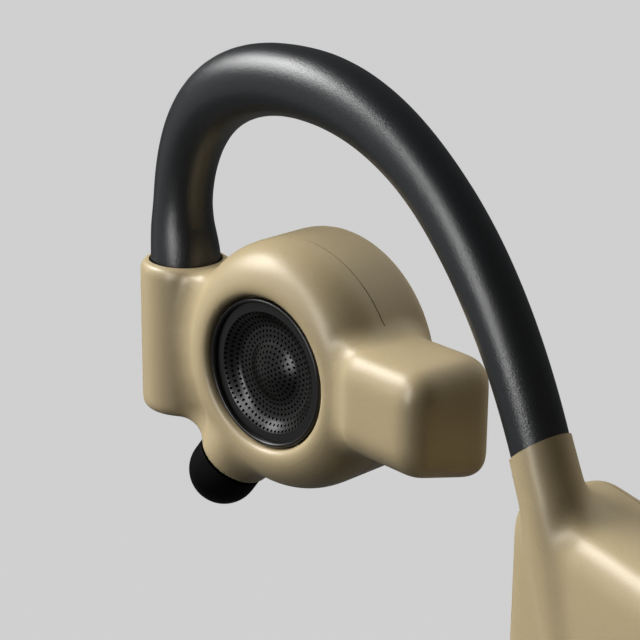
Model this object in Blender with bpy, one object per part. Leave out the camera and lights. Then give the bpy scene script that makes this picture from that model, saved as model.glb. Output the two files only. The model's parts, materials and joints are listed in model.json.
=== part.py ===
"""Ear-hook headset: a speaker pod on a swivelling barrel, a soft hook over the ear, a housing behind the
ear and a stub microphone under the pod. +X runs to the back of the head, +Y away from the head, +Z up.
The origin is the point under the hook's crest where the ear carries the headset."""

import math

import bmesh
import bpy
from mathutils import Matrix, Vector

# Clearances, in metres as all sizes here
GAP = 0.0003
RUN = 0.0002
SEAM = 0.00015
FINE = 0.0001
REACH = 0.02

# Mesh fineness
POD_STEPS = 40
ROUND_STEPS = 24
SMALL_STEPS = 12
EDGE_SEGMENTS = 3
HOOK_SIDES = 16
CORE_SIDES = 6
ARC_POINTS = 4
MERGE = 1e-7
SHARP_ANGLE = math.radians(35)

# Pod, turned about the speaker axis; depths run outward from the grille's rim
POD_RADIUS = 0.0109
POD_WALL = 0.0012
POD_BACK = 0.0096
POD_BACK_EDGE = 0.0008
SEAM_DEPTH = 0.0041
LIP_HEIGHT = 0.0012
LIP_WALL = 0.0009
NOSE_RISE = 0.0008
NOSE_RADIUS = 0.0073
NOSE_DEPTH = 0.0034
NOSE_WALL = 0.0014

# Grille and its rim ring
GRILLE_RADIUS = 0.0064
GRILLE_RIM = 0.0006
GRILLE_DISH = 0.0009
GRILLE_THICK = 0.0003
BEZEL_WIDTH = 0.0004
BEZEL_THICK = 0.0003

# Wing on the pod's rear side
WING_END = 0.0188
WING_IN = 0.0004
WING_OUT = 0.0089
WING_TOP = 0.0047
WING_BOTTOM_IN = 0.0040
WING_BOTTOM_OUT = 0.0063
WING_EDGE = 0.0022
WING_YAW = math.radians(6)

# Barrel on the pod's front side and the swivel in it
BARREL_SINK = 0.0013
BARREL_DEPTH = 0.0034
BARREL_RADIUS = 0.00405
BARREL_TOP = 0.0065
BARREL_BOTTOM = 0.0074
BARREL_EDGE = 0.0007
RECESS_DEPTH = 0.0008
STEM_RADIUS = 0.0021
STEM_NECK = 0.0015
STEM_NECK_LENGTH = 0.0045
STEM_BORE = 0.0008
STEM_TAIL = 0.0012
GROOVE_DEPTH = 0.0007
CHAMBER_RADIUS = 0.0029
WASHER_THICK = 0.0005
CLIP_THICK = 0.0004
CLIP_MOUTH = 0.0024
PLUG_THICK = 0.0010

# Microphone stub at the pod's lower front
MIC_ANGLE = math.radians(33.5)
MIC_LEAN = math.radians(10)
MIC_DEPTH = 0.0026
MIC_REACH = 0.0125
COLLAR_RADIUS = 0.0034
COLLAR_FLARE = 0.0006
COLLAR_EDGE = 0.0004
MIC_RADIUS = 0.00315
MIC_STRAIGHT = 0.0014
MIC_SPIGOT = 0.00195
MIC_SPIGOT_LENGTH = 0.0022
MIC_SEAT_WALL = 0.0005
CAPSULE_RADIUS = 0.0014
CAPSULE_LENGTH = 0.0024

# Driver, a 12 mm unit behind the grille
GASKET_WIDTH = 0.0012
GASKET_THICK = 0.0004
FRAME_RADIUS = 0.0069
FRAME_WALL = 0.0010
FRAME_DEPTH = 0.0026
FRAME_WEB = 0.0006
SURROUND_WIDTH = 0.0008
SURROUND_ROLL = 0.0004
CONE_THICK = 0.00015
CONE_DOME = 0.0006
CONE_RISE = 0.0004
CONE_SETBACK = 0.0001
CONE_TRAVEL = 0.00025
COIL_RADIUS = 0.00275
COIL_WALL = 0.0003
COIL_LENGTH = 0.0016
COIL_AIR = 0.0002
PLATE_THICK = 0.0005
MAGNET_RADIUS = 0.0022
MAGNET_THICK = 0.0013
YOKE_WALL = 0.0009
YOKE_FLOOR = 0.0007
POD_BOARD_RADIUS = 0.0074
POD_BOARD_THICK = 0.0008

# Hook: a centreline in its own upright plane, measured from the barrel's axis and the speaker's height
HOOK_YAW = math.radians(5)
NECK_LEAN = 0.00038
NECK_RISE = 0.0098
CREST_RUN = 0.0161
CREST_RISE = 0.0247
TAIL_RUN = 0.0430
TAIL_RISE = 0.0018
TAIL_ANGLE = math.radians(22)
NECK_HANDLE = 0.0100
CREST_FRONT_HANDLE = 0.0101
CREST_REAR_HANDLE = 0.0126
TAIL_HANDLE = 0.0141
HOOK_BASE_RADIUS = 0.0031
HOOK_NECK_RADIUS = 0.0026
HOOK_ARCH_RADIUS = 0.00305
HOOK_CREST_RADIUS = 0.0029
HOOK_SLOPE_RADIUS = 0.0024
HOOK_TAIL_RADIUS = 0.0023
HOOK_BORE = 0.00135
WIRE_RADIUS = 0.00055
WIRE_OFFSET = 0.00065
LEAD_RADIUS = 0.00045
LEAD_OFFSET = 0.00065
LEAD_CLIMB = 0.0012
FERRULE_RADIUS = 0.0014
FERRULE_HOLD = 0.0042
FERRULE_BORE = 0.0008
ROUTE_STEPS = 12

# Housing behind the ear; its own frame starts at the front end's upper edge
HOUSING_YAW = math.radians(16)
HOUSING_LENGTH = 0.030
HOUSING_HEIGHT = 0.019
HOUSING_THICK = 0.010
HOUSING_SLOPE = math.radians(3)
HOUSING_EDGE = 0.0024
HOUSING_WALL = 0.0012
LID_DEPTH = 0.0020
SEAL_WALL = 0.0006
SEAL_OVERLAP = 0.0007
SOCKET_LENGTH = 0.0043
SOCKET_SETBACK = 0.0045
SOCKET_SIDE = 0.0034
SOCKET_RADIUS = 0.00245
SOCKET_SWELL = 0.0026
SOCKET_ROOT = 0.0020
SOCKET_TOE = 0.0080

# Inside the housing; rises are measured from its floor
BOARD_MARGIN = 0.0018
BOARD_THICK = 0.0008
PAD_THICK = 0.0004
CELL_MARGIN = 0.0004
CELL_FRONT_SPACE = 0.0012
CELL_HEADROOM = 0.0022
CELL_BACK_SPACE = 0.0005
CELL_EDGE = 0.0006
RADIO_LENGTH = 0.0048
RADIO_HEIGHT = 0.0050
RADIO_THICK = 0.0014
RADIO_INSET = 0.0006
RADIO_SPACE = 0.0009
ANTENNA_LENGTH = 0.0070
ANTENNA_HEIGHT = 0.0012
ANTENNA_THICK = 0.0006
BOSS_RADIUS = 0.0013
BOSS_HOLE = 0.0006
SCREW_SHANK = 0.00045
SCREW_HEAD = 0.0010
SCREW_HEAD_THICK = 0.0005
SCREW_BITE = 0.0014
FRONT_SCREW_SETBACK = 0.0043
FRONT_SCREW_RISE = 0.0043
REAR_SCREW_SETBACK = 0.0045
REAR_SCREW_RISE = 0.0080

# Controls on the outer face and charging pins underneath
CONTROL_LIFT = 0.0032
SWITCH_SIZE = 0.0030
SWITCH_THICK = 0.0006
POWER_RADIUS = 0.0025
POWER_FLANGE = 0.0008
POWER_STEM = 0.00025
POWER_TRAVEL = 0.00035
FLANGE_THICK = 0.0006
BUTTON_PROUD = 0.0004
BUTTON_EDGE = 0.0003
ROCKER_SPACE = 0.0004
ROCKER_WIDTH = 0.0036
ROCKER_FLANGE = 0.0006
ROCKER_SWING = math.radians(3.5)
LIGHT_SPACE = 0.0018
LIGHT_RADIUS = 0.0006
LED_SIZE = 0.0012
LED_THICK = 0.0005
PIN_SETBACK = 0.0055
PIN_PITCH = 0.0040
PIN_SIDE = 0.0006
PIN_RADIUS = 0.0008
PIN_FLANGE = 0.0005
PIN_FLANGE_THICK = 0.0004
PIN_RECESS = 0.0001

# Colours, roughness and metallic value of each finish
FINISHES = {
    "champagne": ((0.50, 0.41, 0.27), 0.36, 0.55),
    "soft_black": ((0.018, 0.019, 0.021), 0.55, 0.0),
    "grille_black": ((0.030, 0.028, 0.027), 0.40, 0.6),
    "mic_black": ((0.012, 0.012, 0.012), 0.62, 0.0),
    "steel": ((0.55, 0.55, 0.56), 0.30, 1.0),
    "magnet": ((0.40, 0.40, 0.42), 0.35, 1.0),
    "copper": ((0.72, 0.36, 0.20), 0.35, 1.0),
    "gold": ((0.83, 0.62, 0.28), 0.25, 1.0),
    "film": ((0.55, 0.52, 0.45), 0.30, 0.0),
    "dark_plastic": ((0.05, 0.05, 0.055), 0.50, 0.0),
    "board": ((0.03, 0.16, 0.08), 0.45, 0.0),
    "foam": ((0.06, 0.06, 0.06), 0.95, 0.0),
    "cell": ((0.62, 0.63, 0.66), 0.40, 0.3),
    "rubber": ((0.03, 0.03, 0.03), 0.80, 0.0),
    "light": ((0.85, 0.87, 0.85), 0.15, 0.0),
}

# Places that several pieces share
BARREL_REACH = POD_RADIUS + BARREL_RADIUS - BARREL_SINK
BARREL_FLOOR = BARREL_TOP - RECESS_DEPTH
HOOK_BASE = BARREL_FLOOR + GAP
STEM_TOP = HOOK_BASE + STEM_NECK_LENGTH
CHAMBER_HEIGHT = PLUG_THICK + GAP + STEM_TAIL + CLIP_THICK + WASHER_THICK + 3 * FINE
SHOULDER = -BARREL_BOTTOM + CHAMBER_HEIGHT
WASHER_LOW = SHOULDER - FINE - WASHER_THICK
CLIP_LOW = WASHER_LOW - FINE - CLIP_THICK
CAVITY_RADIUS = POD_RADIUS - POD_WALL
POCKET_RADIUS = GRILLE_RADIUS + RUN
SEAT_DEPTH = GRILLE_THICK + FINE
SEAT_HOLE = GRILLE_RADIUS - GRILLE_RIM + FINE
LEDGE_DEPTH = GRILLE_DISH + GRILLE_THICK + RUN
FRAME_FRONT = LEDGE_DEPTH + FINE + GASKET_THICK + FINE
CONE_FRONT = FRAME_FRONT + CONE_SETBACK
CONE_VALLEY = CONE_FRONT + CONE_DOME + CONE_THICK
PLATE_FRONT = CONE_VALLEY + CONE_TRAVEL + FINE
COIL_OUTER = COIL_RADIUS + COIL_WALL / 2
COIL_INNER = COIL_RADIUS - COIL_WALL / 2
YOKE_INNER = COIL_OUTER + COIL_AIR
YOKE_RADIUS = YOKE_INNER + YOKE_WALL
MAGNET_FRONT = PLATE_FRONT + PLATE_THICK + FINE
YOKE_FLOOR_FRONT = MAGNET_FRONT + MAGNET_THICK + FINE
SURROUND_OUTER = FRAME_RADIUS - FRAME_WALL - FINE
CONE_RADIUS = SURROUND_OUTER - SURROUND_WIDTH - FINE
COLLAR_ROOT = MIC_REACH - CAVITY_RADIUS + POD_WALL
SPLIT = HOUSING_THICK / 2 - LID_DEPTH
INNER_FACE = -HOUSING_THICK / 2 + HOUSING_WALL
OUTER_FACE = HOUSING_THICK / 2 - HOUSING_WALL
FLANGE_OUT = OUTER_FACE - FINE
FLANGE_IN = FLANGE_OUT - FLANGE_THICK
SWITCH_OUT = FLANGE_IN - POWER_STEM - POWER_TRAVEL - FINE
BOARD_OUT = SWITCH_OUT - SWITCH_THICK - FINE
BOARD_IN = BOARD_OUT - BOARD_THICK
BOARD_INSET = HOUSING_WALL + BOARD_MARGIN
PAD_FRONT = INNER_FACE + FINE
CELL_FRONT = PAD_FRONT + PAD_THICK + FINE
CELL_BACK = BOARD_IN - CELL_BACK_SPACE
FLOOR = -HOUSING_HEIGHT
TOP_FALL = math.tan(HOUSING_SLOPE)
FRONT_SCREW = (FRONT_SCREW_SETBACK, FLOOR + FRONT_SCREW_RISE)
REAR_SCREW = (HOUSING_LENGTH - REAR_SCREW_SETBACK, FLOOR + REAR_SCREW_RISE)
RADIO_START = BOARD_INSET + RADIO_INSET
RADIO_LOW = FRONT_SCREW[1] + SCREW_HEAD + RADIO_SPACE
CELL_START = RADIO_START + RADIO_LENGTH + CELL_FRONT_SPACE
CELL_END = REAR_SCREW[0] - SCREW_HEAD - CELL_MARGIN
CELL_LOW = FLOOR + BOARD_INSET
CELL_HIGH = -CELL_END * TOP_FALL - HOUSING_WALL - CELL_HEADROOM
BUTTON_TOP = HOUSING_THICK / 2 + BUTTON_PROUD
CONTROL_LEVEL = FRONT_SCREW[1] + CONTROL_LIFT
BOSS_CLEAR = POWER_RADIUS + POWER_FLANGE + GAP + BOSS_RADIUS
POWER_PLACE = FRONT_SCREW[0] + math.sqrt(BOSS_CLEAR ** 2 - CONTROL_LIFT ** 2)
ROCKER_START = POWER_PLACE + POWER_RADIUS + POWER_FLANGE + ROCKER_SPACE + ROCKER_FLANGE
ROCKER_END = REAR_SCREW[0] - BOSS_RADIUS - GAP - ROCKER_FLANGE
ROCKER_LENGTH = ROCKER_END - ROCKER_START
ROCKER_MIDDLE = (ROCKER_START + ROCKER_END) / 2
ROCKER_DIP = (ROCKER_LENGTH / 2 + ROCKER_FLANGE) * math.sin(ROCKER_SWING)
ROCKER_AXIS = FLANGE_OUT - ROCKER_DIP - FLANGE_THICK / 2
LIGHT_LEVEL = CONTROL_LEVEL + POWER_RADIUS + POWER_FLANGE + LIGHT_SPACE + LIGHT_RADIUS
ANTENNA_START = ROCKER_MIDDLE - ANTENNA_LENGTH / 2
ANTENNA_END = ROCKER_MIDDLE + ANTENNA_LENGTH / 2
ANTENNA_TOP = -ANTENNA_END * TOP_FALL - BOARD_INSET / math.cos(HOUSING_SLOPE) - RUN
PIN_PLACES = (HOUSING_LENGTH - PIN_SETBACK - PIN_PITCH, HOUSING_LENGTH - PIN_SETBACK)


def clear_scene():
    for obj in list(bpy.data.objects):
        bpy.data.objects.remove(obj, do_unlink=True)


def make_finishes():
    made = {}
    for name, (colour, roughness, metallic) in FINISHES.items():
        mat = bpy.data.materials.new(name)
        mat.use_nodes = True
        mat.diffuse_color = (*colour, 1.0)
        shader = mat.node_tree.nodes["Principled BSDF"]
        shader.inputs["Base Color"].default_value = (*colour, 1.0)
        shader.inputs["Roughness"].default_value = roughness
        shader.inputs["Metallic"].default_value = metallic
        made[name] = mat
    return made


def empty(name, location, yaw=0.0):
    """A frame that pieces hang on; it has no shape of its own."""
    obj = bpy.data.objects.new(name, None)
    obj.location = location
    obj.rotation_euler = (0.0, 0.0, yaw)
    bpy.context.scene.collection.objects.link(obj)
    return obj


def add(name, bm, finish, parent, location=(0.0, 0.0, 0.0), toward=None, yaw=0.0):
    """Makes an object of a bmesh; toward turns its own Z to a direction."""
    bmesh.ops.recalc_face_normals(bm, faces=bm.faces)
    mesh = bpy.data.meshes.new(name)
    bm.to_mesh(mesh)
    bm.free()
    mesh.shade_smooth()
    mesh.set_sharp_from_angle(angle=SHARP_ANGLE)
    if finish:
        mesh.materials.append(bpy.data.materials[finish])
    obj = bpy.data.objects.new(name, mesh)
    bpy.context.scene.collection.objects.link(obj)
    obj.parent = parent
    obj.location = location
    if toward is not None:
        obj.rotation_mode = "QUATERNION"
        obj.rotation_quaternion = Vector(toward).to_track_quat("Z", "Y")
    else:
        obj.rotation_euler = (0.0, 0.0, yaw)
    return obj


def guide(name, bm, parent, **place):
    """A shape that only cuts or adds to another piece."""
    obj = add(name, bm, None, parent, **place)
    obj.hide_render = True
    obj.display_type = "WIRE"
    return obj


def combine(target, operation, *others):
    """Joins or cuts with closed guides; the exact solver leaves open edges at walls as thin as these."""
    for other in others:
        step = target.modifiers.new(f"{operation.lower()} {other.name}", "BOOLEAN")
        step.operation = operation
        step.solver = "MANIFOLD"
        step.object = other


def arc(centre, radii, start, end, points=ARC_POINTS):
    """Points on an ellipse's arc, from one angle to another in degrees."""
    angles = [math.radians(start + (end - start) * i / points) for i in range(points + 1)]
    return [(centre[0] + radii[0] * math.cos(a), centre[1] + radii[1] * math.sin(a)) for a in angles]


def turned(profile, steps=ROUND_STEPS, ring=False, depth=False):
    """A solid turned about Z from (radius, height) points, or about Y from (radius, depth) points."""
    bm = bmesh.new()
    verts = [bm.verts.new((radius, 0.0, height)) for radius, height in profile]
    pairs = list(zip(verts, verts[1:]))
    if ring:
        pairs.append((verts[-1], verts[0]))
    edges = [bm.edges.new(pair) for pair in pairs]
    bmesh.ops.spin(bm, geom=verts + edges, cent=(0, 0, 0), axis=(0, 0, 1), angle=math.tau,
                   steps=steps, use_merge=True)
    bmesh.ops.remove_doubles(bm, verts=bm.verts, dist=MERGE)
    if depth:
        bm.transform(Matrix.Rotation(-math.pi / 2, 4, "X"))
    return bm


def disc(radius, low, high, **kind):
    return turned([(0.0, low), (radius, low), (radius, high), (0.0, high)], **kind)


def washer(inner, outer, low, high, **kind):
    return turned([(inner, low), (outer, low), (outer, high), (inner, high)], ring=True, **kind)


def block(low, high, edge=0.0, corner=None):
    """A box between two corners; corner may move each of its eight points."""
    bm = bmesh.new()
    bmesh.ops.create_cube(bm, size=2.0)
    for vert in bm.verts:
        place = [high[i] if vert.co[i] > 0 else low[i] for i in range(3)]
        vert.co = corner(*place) if corner else place
    if edge:
        bmesh.ops.bevel(bm, geom=bm.edges[:], offset=edge, segments=EDGE_SEGMENTS, profile=0.5,
                        affect="EDGES", clamp_overlap=True)
    return bm


def capsule(length, width, low, high, edge=0.0):
    """A bar with round ends along X, from one depth to another along Y."""
    bm = bmesh.new()
    half = (length - width) / 2
    ends = arc((half, 0), (width / 2, width / 2), -90, 90) + arc((-half, 0), (width / 2, width / 2), 90, 270)
    face = bm.faces.new([bm.verts.new((x, low, z)) for x, z in ends])
    grown = bmesh.ops.extrude_face_region(bm, geom=[face])
    lifted = [item for item in grown["geom"] if isinstance(item, bmesh.types.BMVert)]
    bmesh.ops.translate(bm, vec=(0, high - low, 0), verts=lifted)
    if edge:
        rim = [e for e in bm.edges if all(abs(v.co.y - high) < MERGE for v in e.verts)]
        bmesh.ops.bevel(bm, geom=rim, offset=edge, segments=EDGE_SEGMENTS, profile=0.5, affect="EDGES")
    return bm


def tube(points, radii, sides):
    """A round tube with closed ends along points, one radius at each."""
    curve = bpy.data.curves.new("tube", "CURVE")
    curve.dimensions = "3D"
    curve.bevel_depth = 1.0
    curve.bevel_resolution = sides // 2 - 2
    curve.use_fill_caps = True
    spline = curve.splines.new("POLY")
    spline.points.add(len(points) - 1)
    for point, place, radius in zip(spline.points, points, radii):
        point.co = (*place, 1.0)
        point.radius = radius
    holder = bpy.data.objects.new("tube", curve)
    mesh = bpy.data.meshes.new_from_object(holder)
    bpy.data.objects.remove(holder)
    bm = bmesh.new()
    bm.from_mesh(mesh)
    bmesh.ops.remove_doubles(bm, verts=bm.verts, dist=MERGE)
    return bm


def bezier(start, first, second, end, steps):
    points = []
    for i in range(steps):
        t = i / steps
        s = 1 - t
        points.append(s ** 3 * start + 3 * s * s * t * first + 3 * s * t * t * second + t ** 3 * end)
    return points


def hook_route():
    """The hook's centreline from its base in the barrel to its tail, with the radius at each point."""
    up = Vector((0, 0, 1))
    back = Vector((1, 0, 0))
    base = Vector((0, 0, HOOK_BASE))
    neck = Vector((-NECK_LEAN, 0, NECK_RISE))
    crest = Vector((CREST_RUN, 0, CREST_RISE))
    tail = Vector((TAIL_RUN, 0, TAIL_RISE))
    foot = (NECK_RISE - HOOK_BASE) / 3
    points = bezier(base, base + up * foot, neck - up * foot, neck, ROUTE_STEPS // 2)
    points += bezier(neck, neck + up * NECK_HANDLE, crest - back * CREST_FRONT_HANDLE, crest, ROUTE_STEPS)
    points += bezier(crest, crest + back * CREST_REAR_HANDLE, tail - tail_direction() * TAIL_HANDLE, tail,
                     ROUTE_STEPS)
    points.append(tail)
    stations = (
        (0, HOOK_BASE_RADIUS),
        (ROUTE_STEPS // 2 + ROUTE_STEPS // 6, HOOK_NECK_RADIUS),
        (ROUTE_STEPS + ROUTE_STEPS // 6, HOOK_ARCH_RADIUS),
        (ROUTE_STEPS // 2 + ROUTE_STEPS, HOOK_CREST_RADIUS),
        (2 * ROUTE_STEPS, HOOK_SLOPE_RADIUS),
        (len(points) - 1, HOOK_TAIL_RADIUS),
    )
    radii = []
    for (first, thick), (last, thin) in zip(stations, stations[1:]):
        for i in range(first, last):
            u = (i - first) / (last - first)
            radii.append(thick + (thin - thick) * u * u * (3 - 2 * u))
    radii.append(HOOK_TAIL_RADIUS)
    return points, radii


def tail_direction():
    return Vector((math.sin(TAIL_ANGLE), 0, -math.cos(TAIL_ANGLE)))


def offset_route(points, offset):
    """A line beside the hook's centreline; a positive offset lies on the arch's outer side."""
    moved = []
    for i, point in enumerate(points):
        along = points[min(i + 1, len(points) - 1)] - points[max(i - 1, 0)]
        normal = Vector((-along.z, 0, along.x)).normalized()
        moved.append(point + normal * offset)
    return moved


def make_frames():
    """The frames that the pieces hang on, all from the point under the hook's crest."""
    turn = Matrix.Rotation(-HOOK_YAW, 3, "Z")
    axis_foot = -(turn @ Vector((CREST_RUN, 0, CREST_RISE - HOOK_CREST_RADIUS)))
    swivel = empty("swivel_axis", axis_foot)
    hook = empty("hook_plane", axis_foot, -HOOK_YAW)
    pod = empty("pod_frame", (BARREL_REACH, -BARREL_DEPTH, 0))
    pod.parent = swivel
    along = turn @ tail_direction()
    tail = axis_foot + turn @ Vector((TAIL_RUN, 0, TAIL_RISE))
    face = Matrix.Rotation(-HOUSING_YAW, 3, "Z")
    mouth = Vector((SOCKET_SETBACK, -SOCKET_SIDE, 0))
    housing = empty("housing_frame", tail + along * SOCKET_LENGTH - face @ mouth, -HOUSING_YAW)
    return hook, pod, housing, face.transposed() @ along


def wing_block(grow, root):
    def corner(x, y, z):
        if z > 0:
            return (x, y, z)
        return (x, y, -WING_BOTTOM_IN - grow if y < 0 else -WING_BOTTOM_OUT - grow)

    low = (root, -WING_IN - grow, -WING_BOTTOM_OUT - grow)
    high = (WING_END + grow, WING_OUT + grow, WING_TOP + grow)
    return block(low, high, WING_EDGE + grow, corner)


def barrel_solid(grow):
    edge = BARREL_EDGE
    radius = BARREL_RADIUS + grow
    low = -BARREL_BOTTOM - grow
    high = BARREL_TOP + grow
    profile = [(0.0, low)] + arc((radius - edge, low + edge), (edge, edge), -90, 0)
    profile += arc((radius - edge, high - edge), (edge, edge), 0, 90) + [(0.0, high)]
    return turned(profile)


def mic_place():
    """The end of the microphone's collar on the pod, and the way that it points."""
    radial = Vector((-math.sin(MIC_ANGLE), 0, -math.cos(MIC_ANGLE)))
    axis = radial * math.cos(MIC_LEAN) - Vector((0, 1, 0)) * math.sin(MIC_LEAN)
    return {"location": radial * MIC_REACH + Vector((0, MIC_DEPTH, 0)), "toward": axis}


def collar_solid(grow):
    radius = COLLAR_RADIUS + grow
    root = -COLLAR_ROOT - grow
    profile = [(0.0, root), (radius + COLLAR_FLARE, root)]
    profile += arc((radius - COLLAR_EDGE, -COLLAR_EDGE), (COLLAR_EDGE, COLLAR_EDGE), 0, 90) + [(0.0, 0.0)]
    return turned(profile)


def make_pod_shells(pod):
    """Front shell with barrel, wing and microphone collar, and the rear cover behind the parting line."""
    nose = arc((NOSE_RADIUS, 0.0), (NOSE_RADIUS - POCKET_RADIUS, NOSE_RISE), 180, 270)
    brow = arc((NOSE_RADIUS, NOSE_DEPTH), (POD_RADIUS - NOSE_RADIUS, NOSE_DEPTH + NOSE_RISE), 270, 360)
    post = FRAME_RADIUS + GAP
    groove = NOSE_WALL - NOSE_RISE
    profile = [(SEAT_HOLE, LEDGE_DEPTH), (SEAT_HOLE, SEAT_DEPTH), (POCKET_RADIUS, SEAT_DEPTH)]
    profile += nose + brow[1:]
    profile += [(POD_RADIUS, SEAM_DEPTH), (CAVITY_RADIUS - LIP_WALL, SEAM_DEPTH)]
    profile += [(CAVITY_RADIUS - LIP_WALL, groove), (post, groove), (post, LEDGE_DEPTH)]
    shell = add("pod_front_shell", turned(profile, POD_STEPS, ring=True, depth=True), "champagne", pod)

    barrel_place = (-BARREL_REACH, BARREL_DEPTH, 0)
    wing_root = CAVITY_RADIUS - LIP_WALL
    barrel = guide("barrel_form", barrel_solid(0.0), pod, location=barrel_place)
    wing = guide("wing_form", wing_block(0.0, wing_root), pod, yaw=-WING_YAW)
    collar_place = mic_place()
    collar = guide("collar_form", collar_solid(0.0), pod, **collar_place)
    combine(shell, "UNION", barrel, wing, collar)

    cavity = guide("pod_cavity", disc(CAVITY_RADIUS, LEDGE_DEPTH + FINE, POD_BACK + REACH, steps=POD_STEPS,
                                      depth=True), pod)
    chamber_low = (wing_root - FINE, -WING_IN + POD_WALL, -WING_BOTTOM_IN + POD_WALL)
    chamber_high = (WING_END - POD_WALL, WING_OUT - POD_WALL, WING_TOP - POD_WALL)
    chamber = guide("wing_chamber", block(chamber_low, chamber_high), pod, yaw=-WING_YAW)
    below = -BARREL_BOTTOM - REACH
    bore = [(0.0, below), (CHAMBER_RADIUS, below), (CHAMBER_RADIUS, SHOULDER)]
    bore += [(STEM_RADIUS + RUN, SHOULDER), (STEM_RADIUS + RUN, BARREL_FLOOR)]
    bore += [(HOOK_BASE_RADIUS + RUN, BARREL_FLOOR), (HOOK_BASE_RADIUS + RUN, REACH), (0.0, REACH)]
    barrel_bore = guide("barrel_bore", turned(bore), pod, location=barrel_place)
    seat_radius = MIC_SPIGOT + FINE + MIC_SEAT_WALL + FINE
    mic_bore = guide("mic_bore", disc(seat_radius, -COLLAR_ROOT - POD_WALL, REACH), pod, **collar_place)
    combine(shell, "DIFFERENCE", cavity, chamber, barrel_bore, mic_bore)

    edge = POD_BACK_EDGE
    lip_out = CAVITY_RADIUS - FINE
    lip_in = lip_out - LIP_WALL
    rim = SEAM_DEPTH + SEAM
    profile = [(POD_RADIUS, rim)] + arc((POD_RADIUS - edge, POD_BACK - edge), (edge, edge), 0, 90)
    profile += [(0.0, POD_BACK), (0.0, POD_BACK - POD_WALL), (CAVITY_RADIUS, POD_BACK - POD_WALL)]
    profile += [(CAVITY_RADIUS, rim + POD_WALL + LIP_WALL), (lip_in, rim + POD_WALL)]
    profile += [(lip_in, SEAM_DEPTH - LIP_HEIGHT), (lip_out, SEAM_DEPTH - LIP_HEIGHT), (lip_out, rim)]
    cover = add("pod_rear_cover", turned(profile, POD_STEPS, ring=True, depth=True), "champagne", pod)
    barrel_notch = guide("barrel_notch", barrel_solid(SEAM), pod, location=barrel_place)
    wing_notch = guide("wing_notch", wing_block(SEAM, wing_root - GAP), pod, yaw=-WING_YAW)
    collar_notch = guide("collar_notch", collar_solid(SEAM), pod, **collar_place)
    combine(cover, "DIFFERENCE", barrel_notch, wing_notch, collar_notch)

    foam_low = (CAVITY_RADIUS + GAP, chamber_low[1] + GAP, chamber_low[2] + GAP)
    foam_high = [size - GAP for size in chamber_high]
    add("chamber_foam", block(foam_low, foam_high), "foam", pod, yaw=-WING_YAW)
    plug = disc(CHAMBER_RADIUS - FINE, -BARREL_BOTTOM, -BARREL_BOTTOM + PLUG_THICK)
    add("barrel_plug", plug, "champagne", pod, location=barrel_place)


def grille_sheet(radius):
    """Depth of the grille's front face: flat rim, dished ring and a low dome at the centre."""
    return GRILLE_DISH * (1 - math.cos(math.tau * radius / (GRILLE_RADIUS - GRILLE_RIM))) / 2


def make_grille(pod):
    flat = GRILLE_RADIUS - GRILLE_RIM
    front = [(flat * i / (2 * ARC_POINTS), grille_sheet(flat * i / (2 * ARC_POINTS)))
             for i in range(2 * ARC_POINTS + 1)]
    front.append((GRILLE_RADIUS, 0.0))
    back = [(radius, depth + GRILLE_THICK) for radius, depth in reversed(front)]
    add("speaker_grille", turned(front + back, POD_STEPS, depth=True), "grille_black", pod)
    rim = washer(GRILLE_RADIUS - BEZEL_WIDTH, GRILLE_RADIUS, -FINE - BEZEL_THICK, -FINE,
                 steps=POD_STEPS, depth=True)
    add("grille_bezel", rim, "grille_black", pod)


def make_driver(pod):
    """Gasket, frame, cone with its coil, and the magnet in its steel cup."""
    ledge = LEDGE_DEPTH + FINE
    gasket = washer(FRAME_RADIUS - GASKET_WIDTH, FRAME_RADIUS, ledge, ledge + GASKET_THICK, depth=True)
    add("driver_gasket", gasket, "rubber", pod)
    inner = FRAME_RADIUS - FRAME_WALL
    back = FRAME_FRONT + FRAME_DEPTH
    hub = YOKE_RADIUS + FINE
    profile = [(inner, FRAME_FRONT), (FRAME_RADIUS, FRAME_FRONT), (FRAME_RADIUS, back), (hub, back)]
    profile += [(hub, back - FRAME_WEB), (inner, back - FRAME_WEB)]
    add("driver_frame", turned(profile, ring=True, depth=True), "dark_plastic", pod)

    middle = SURROUND_OUTER - SURROUND_WIDTH / 2
    half = SURROUND_WIDTH / 2
    level = CONE_FRONT + CONE_DOME - CONE_RISE
    roll = arc((middle, level), (half, SURROUND_ROLL), 180, 360)
    roll += arc((middle, level), (half - CONE_THICK, SURROUND_ROLL - CONE_THICK), 360, 180)
    add("driver_surround", turned(roll, ring=True, depth=True), "rubber", pod)

    face = []
    for i in range(ARC_POINTS + 1):
        share = i / ARC_POINTS
        face.append((COIL_RADIUS * share, CONE_FRONT + CONE_DOME * (1 - math.cos(math.pi * share)) / 2))
    face.append((CONE_RADIUS, level))
    cone = face + [(radius, depth + CONE_THICK) for radius, depth in reversed(face)]
    add("diaphragm", turned(cone, depth=True), "film", pod)
    coil_front = CONE_VALLEY + FINE
    coil = washer(COIL_INNER, COIL_OUTER, coil_front, coil_front + COIL_LENGTH, depth=True)
    add("voice_coil", coil, "copper", pod)

    plate = disc(COIL_INNER - COIL_AIR, PLATE_FRONT, PLATE_FRONT + PLATE_THICK, depth=True)
    add("driver_top_plate", plate, "steel", pod)
    magnet = disc(MAGNET_RADIUS, MAGNET_FRONT, MAGNET_FRONT + MAGNET_THICK, depth=True)
    add("driver_magnet", magnet, "magnet", pod)
    floor = YOKE_FLOOR_FRONT + YOKE_FLOOR
    cup = [(0.0, YOKE_FLOOR_FRONT), (YOKE_INNER, YOKE_FLOOR_FRONT), (YOKE_INNER, PLATE_FRONT)]
    cup += [(YOKE_RADIUS, PLATE_FRONT), (YOKE_RADIUS, floor), (0.0, floor)]
    add("driver_yoke", turned(cup, depth=True), "steel", pod)
    board = disc(POD_BOARD_RADIUS, floor + GAP, floor + GAP + POD_BOARD_THICK, depth=True)
    add("pod_board", board, "board", pod)


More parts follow.
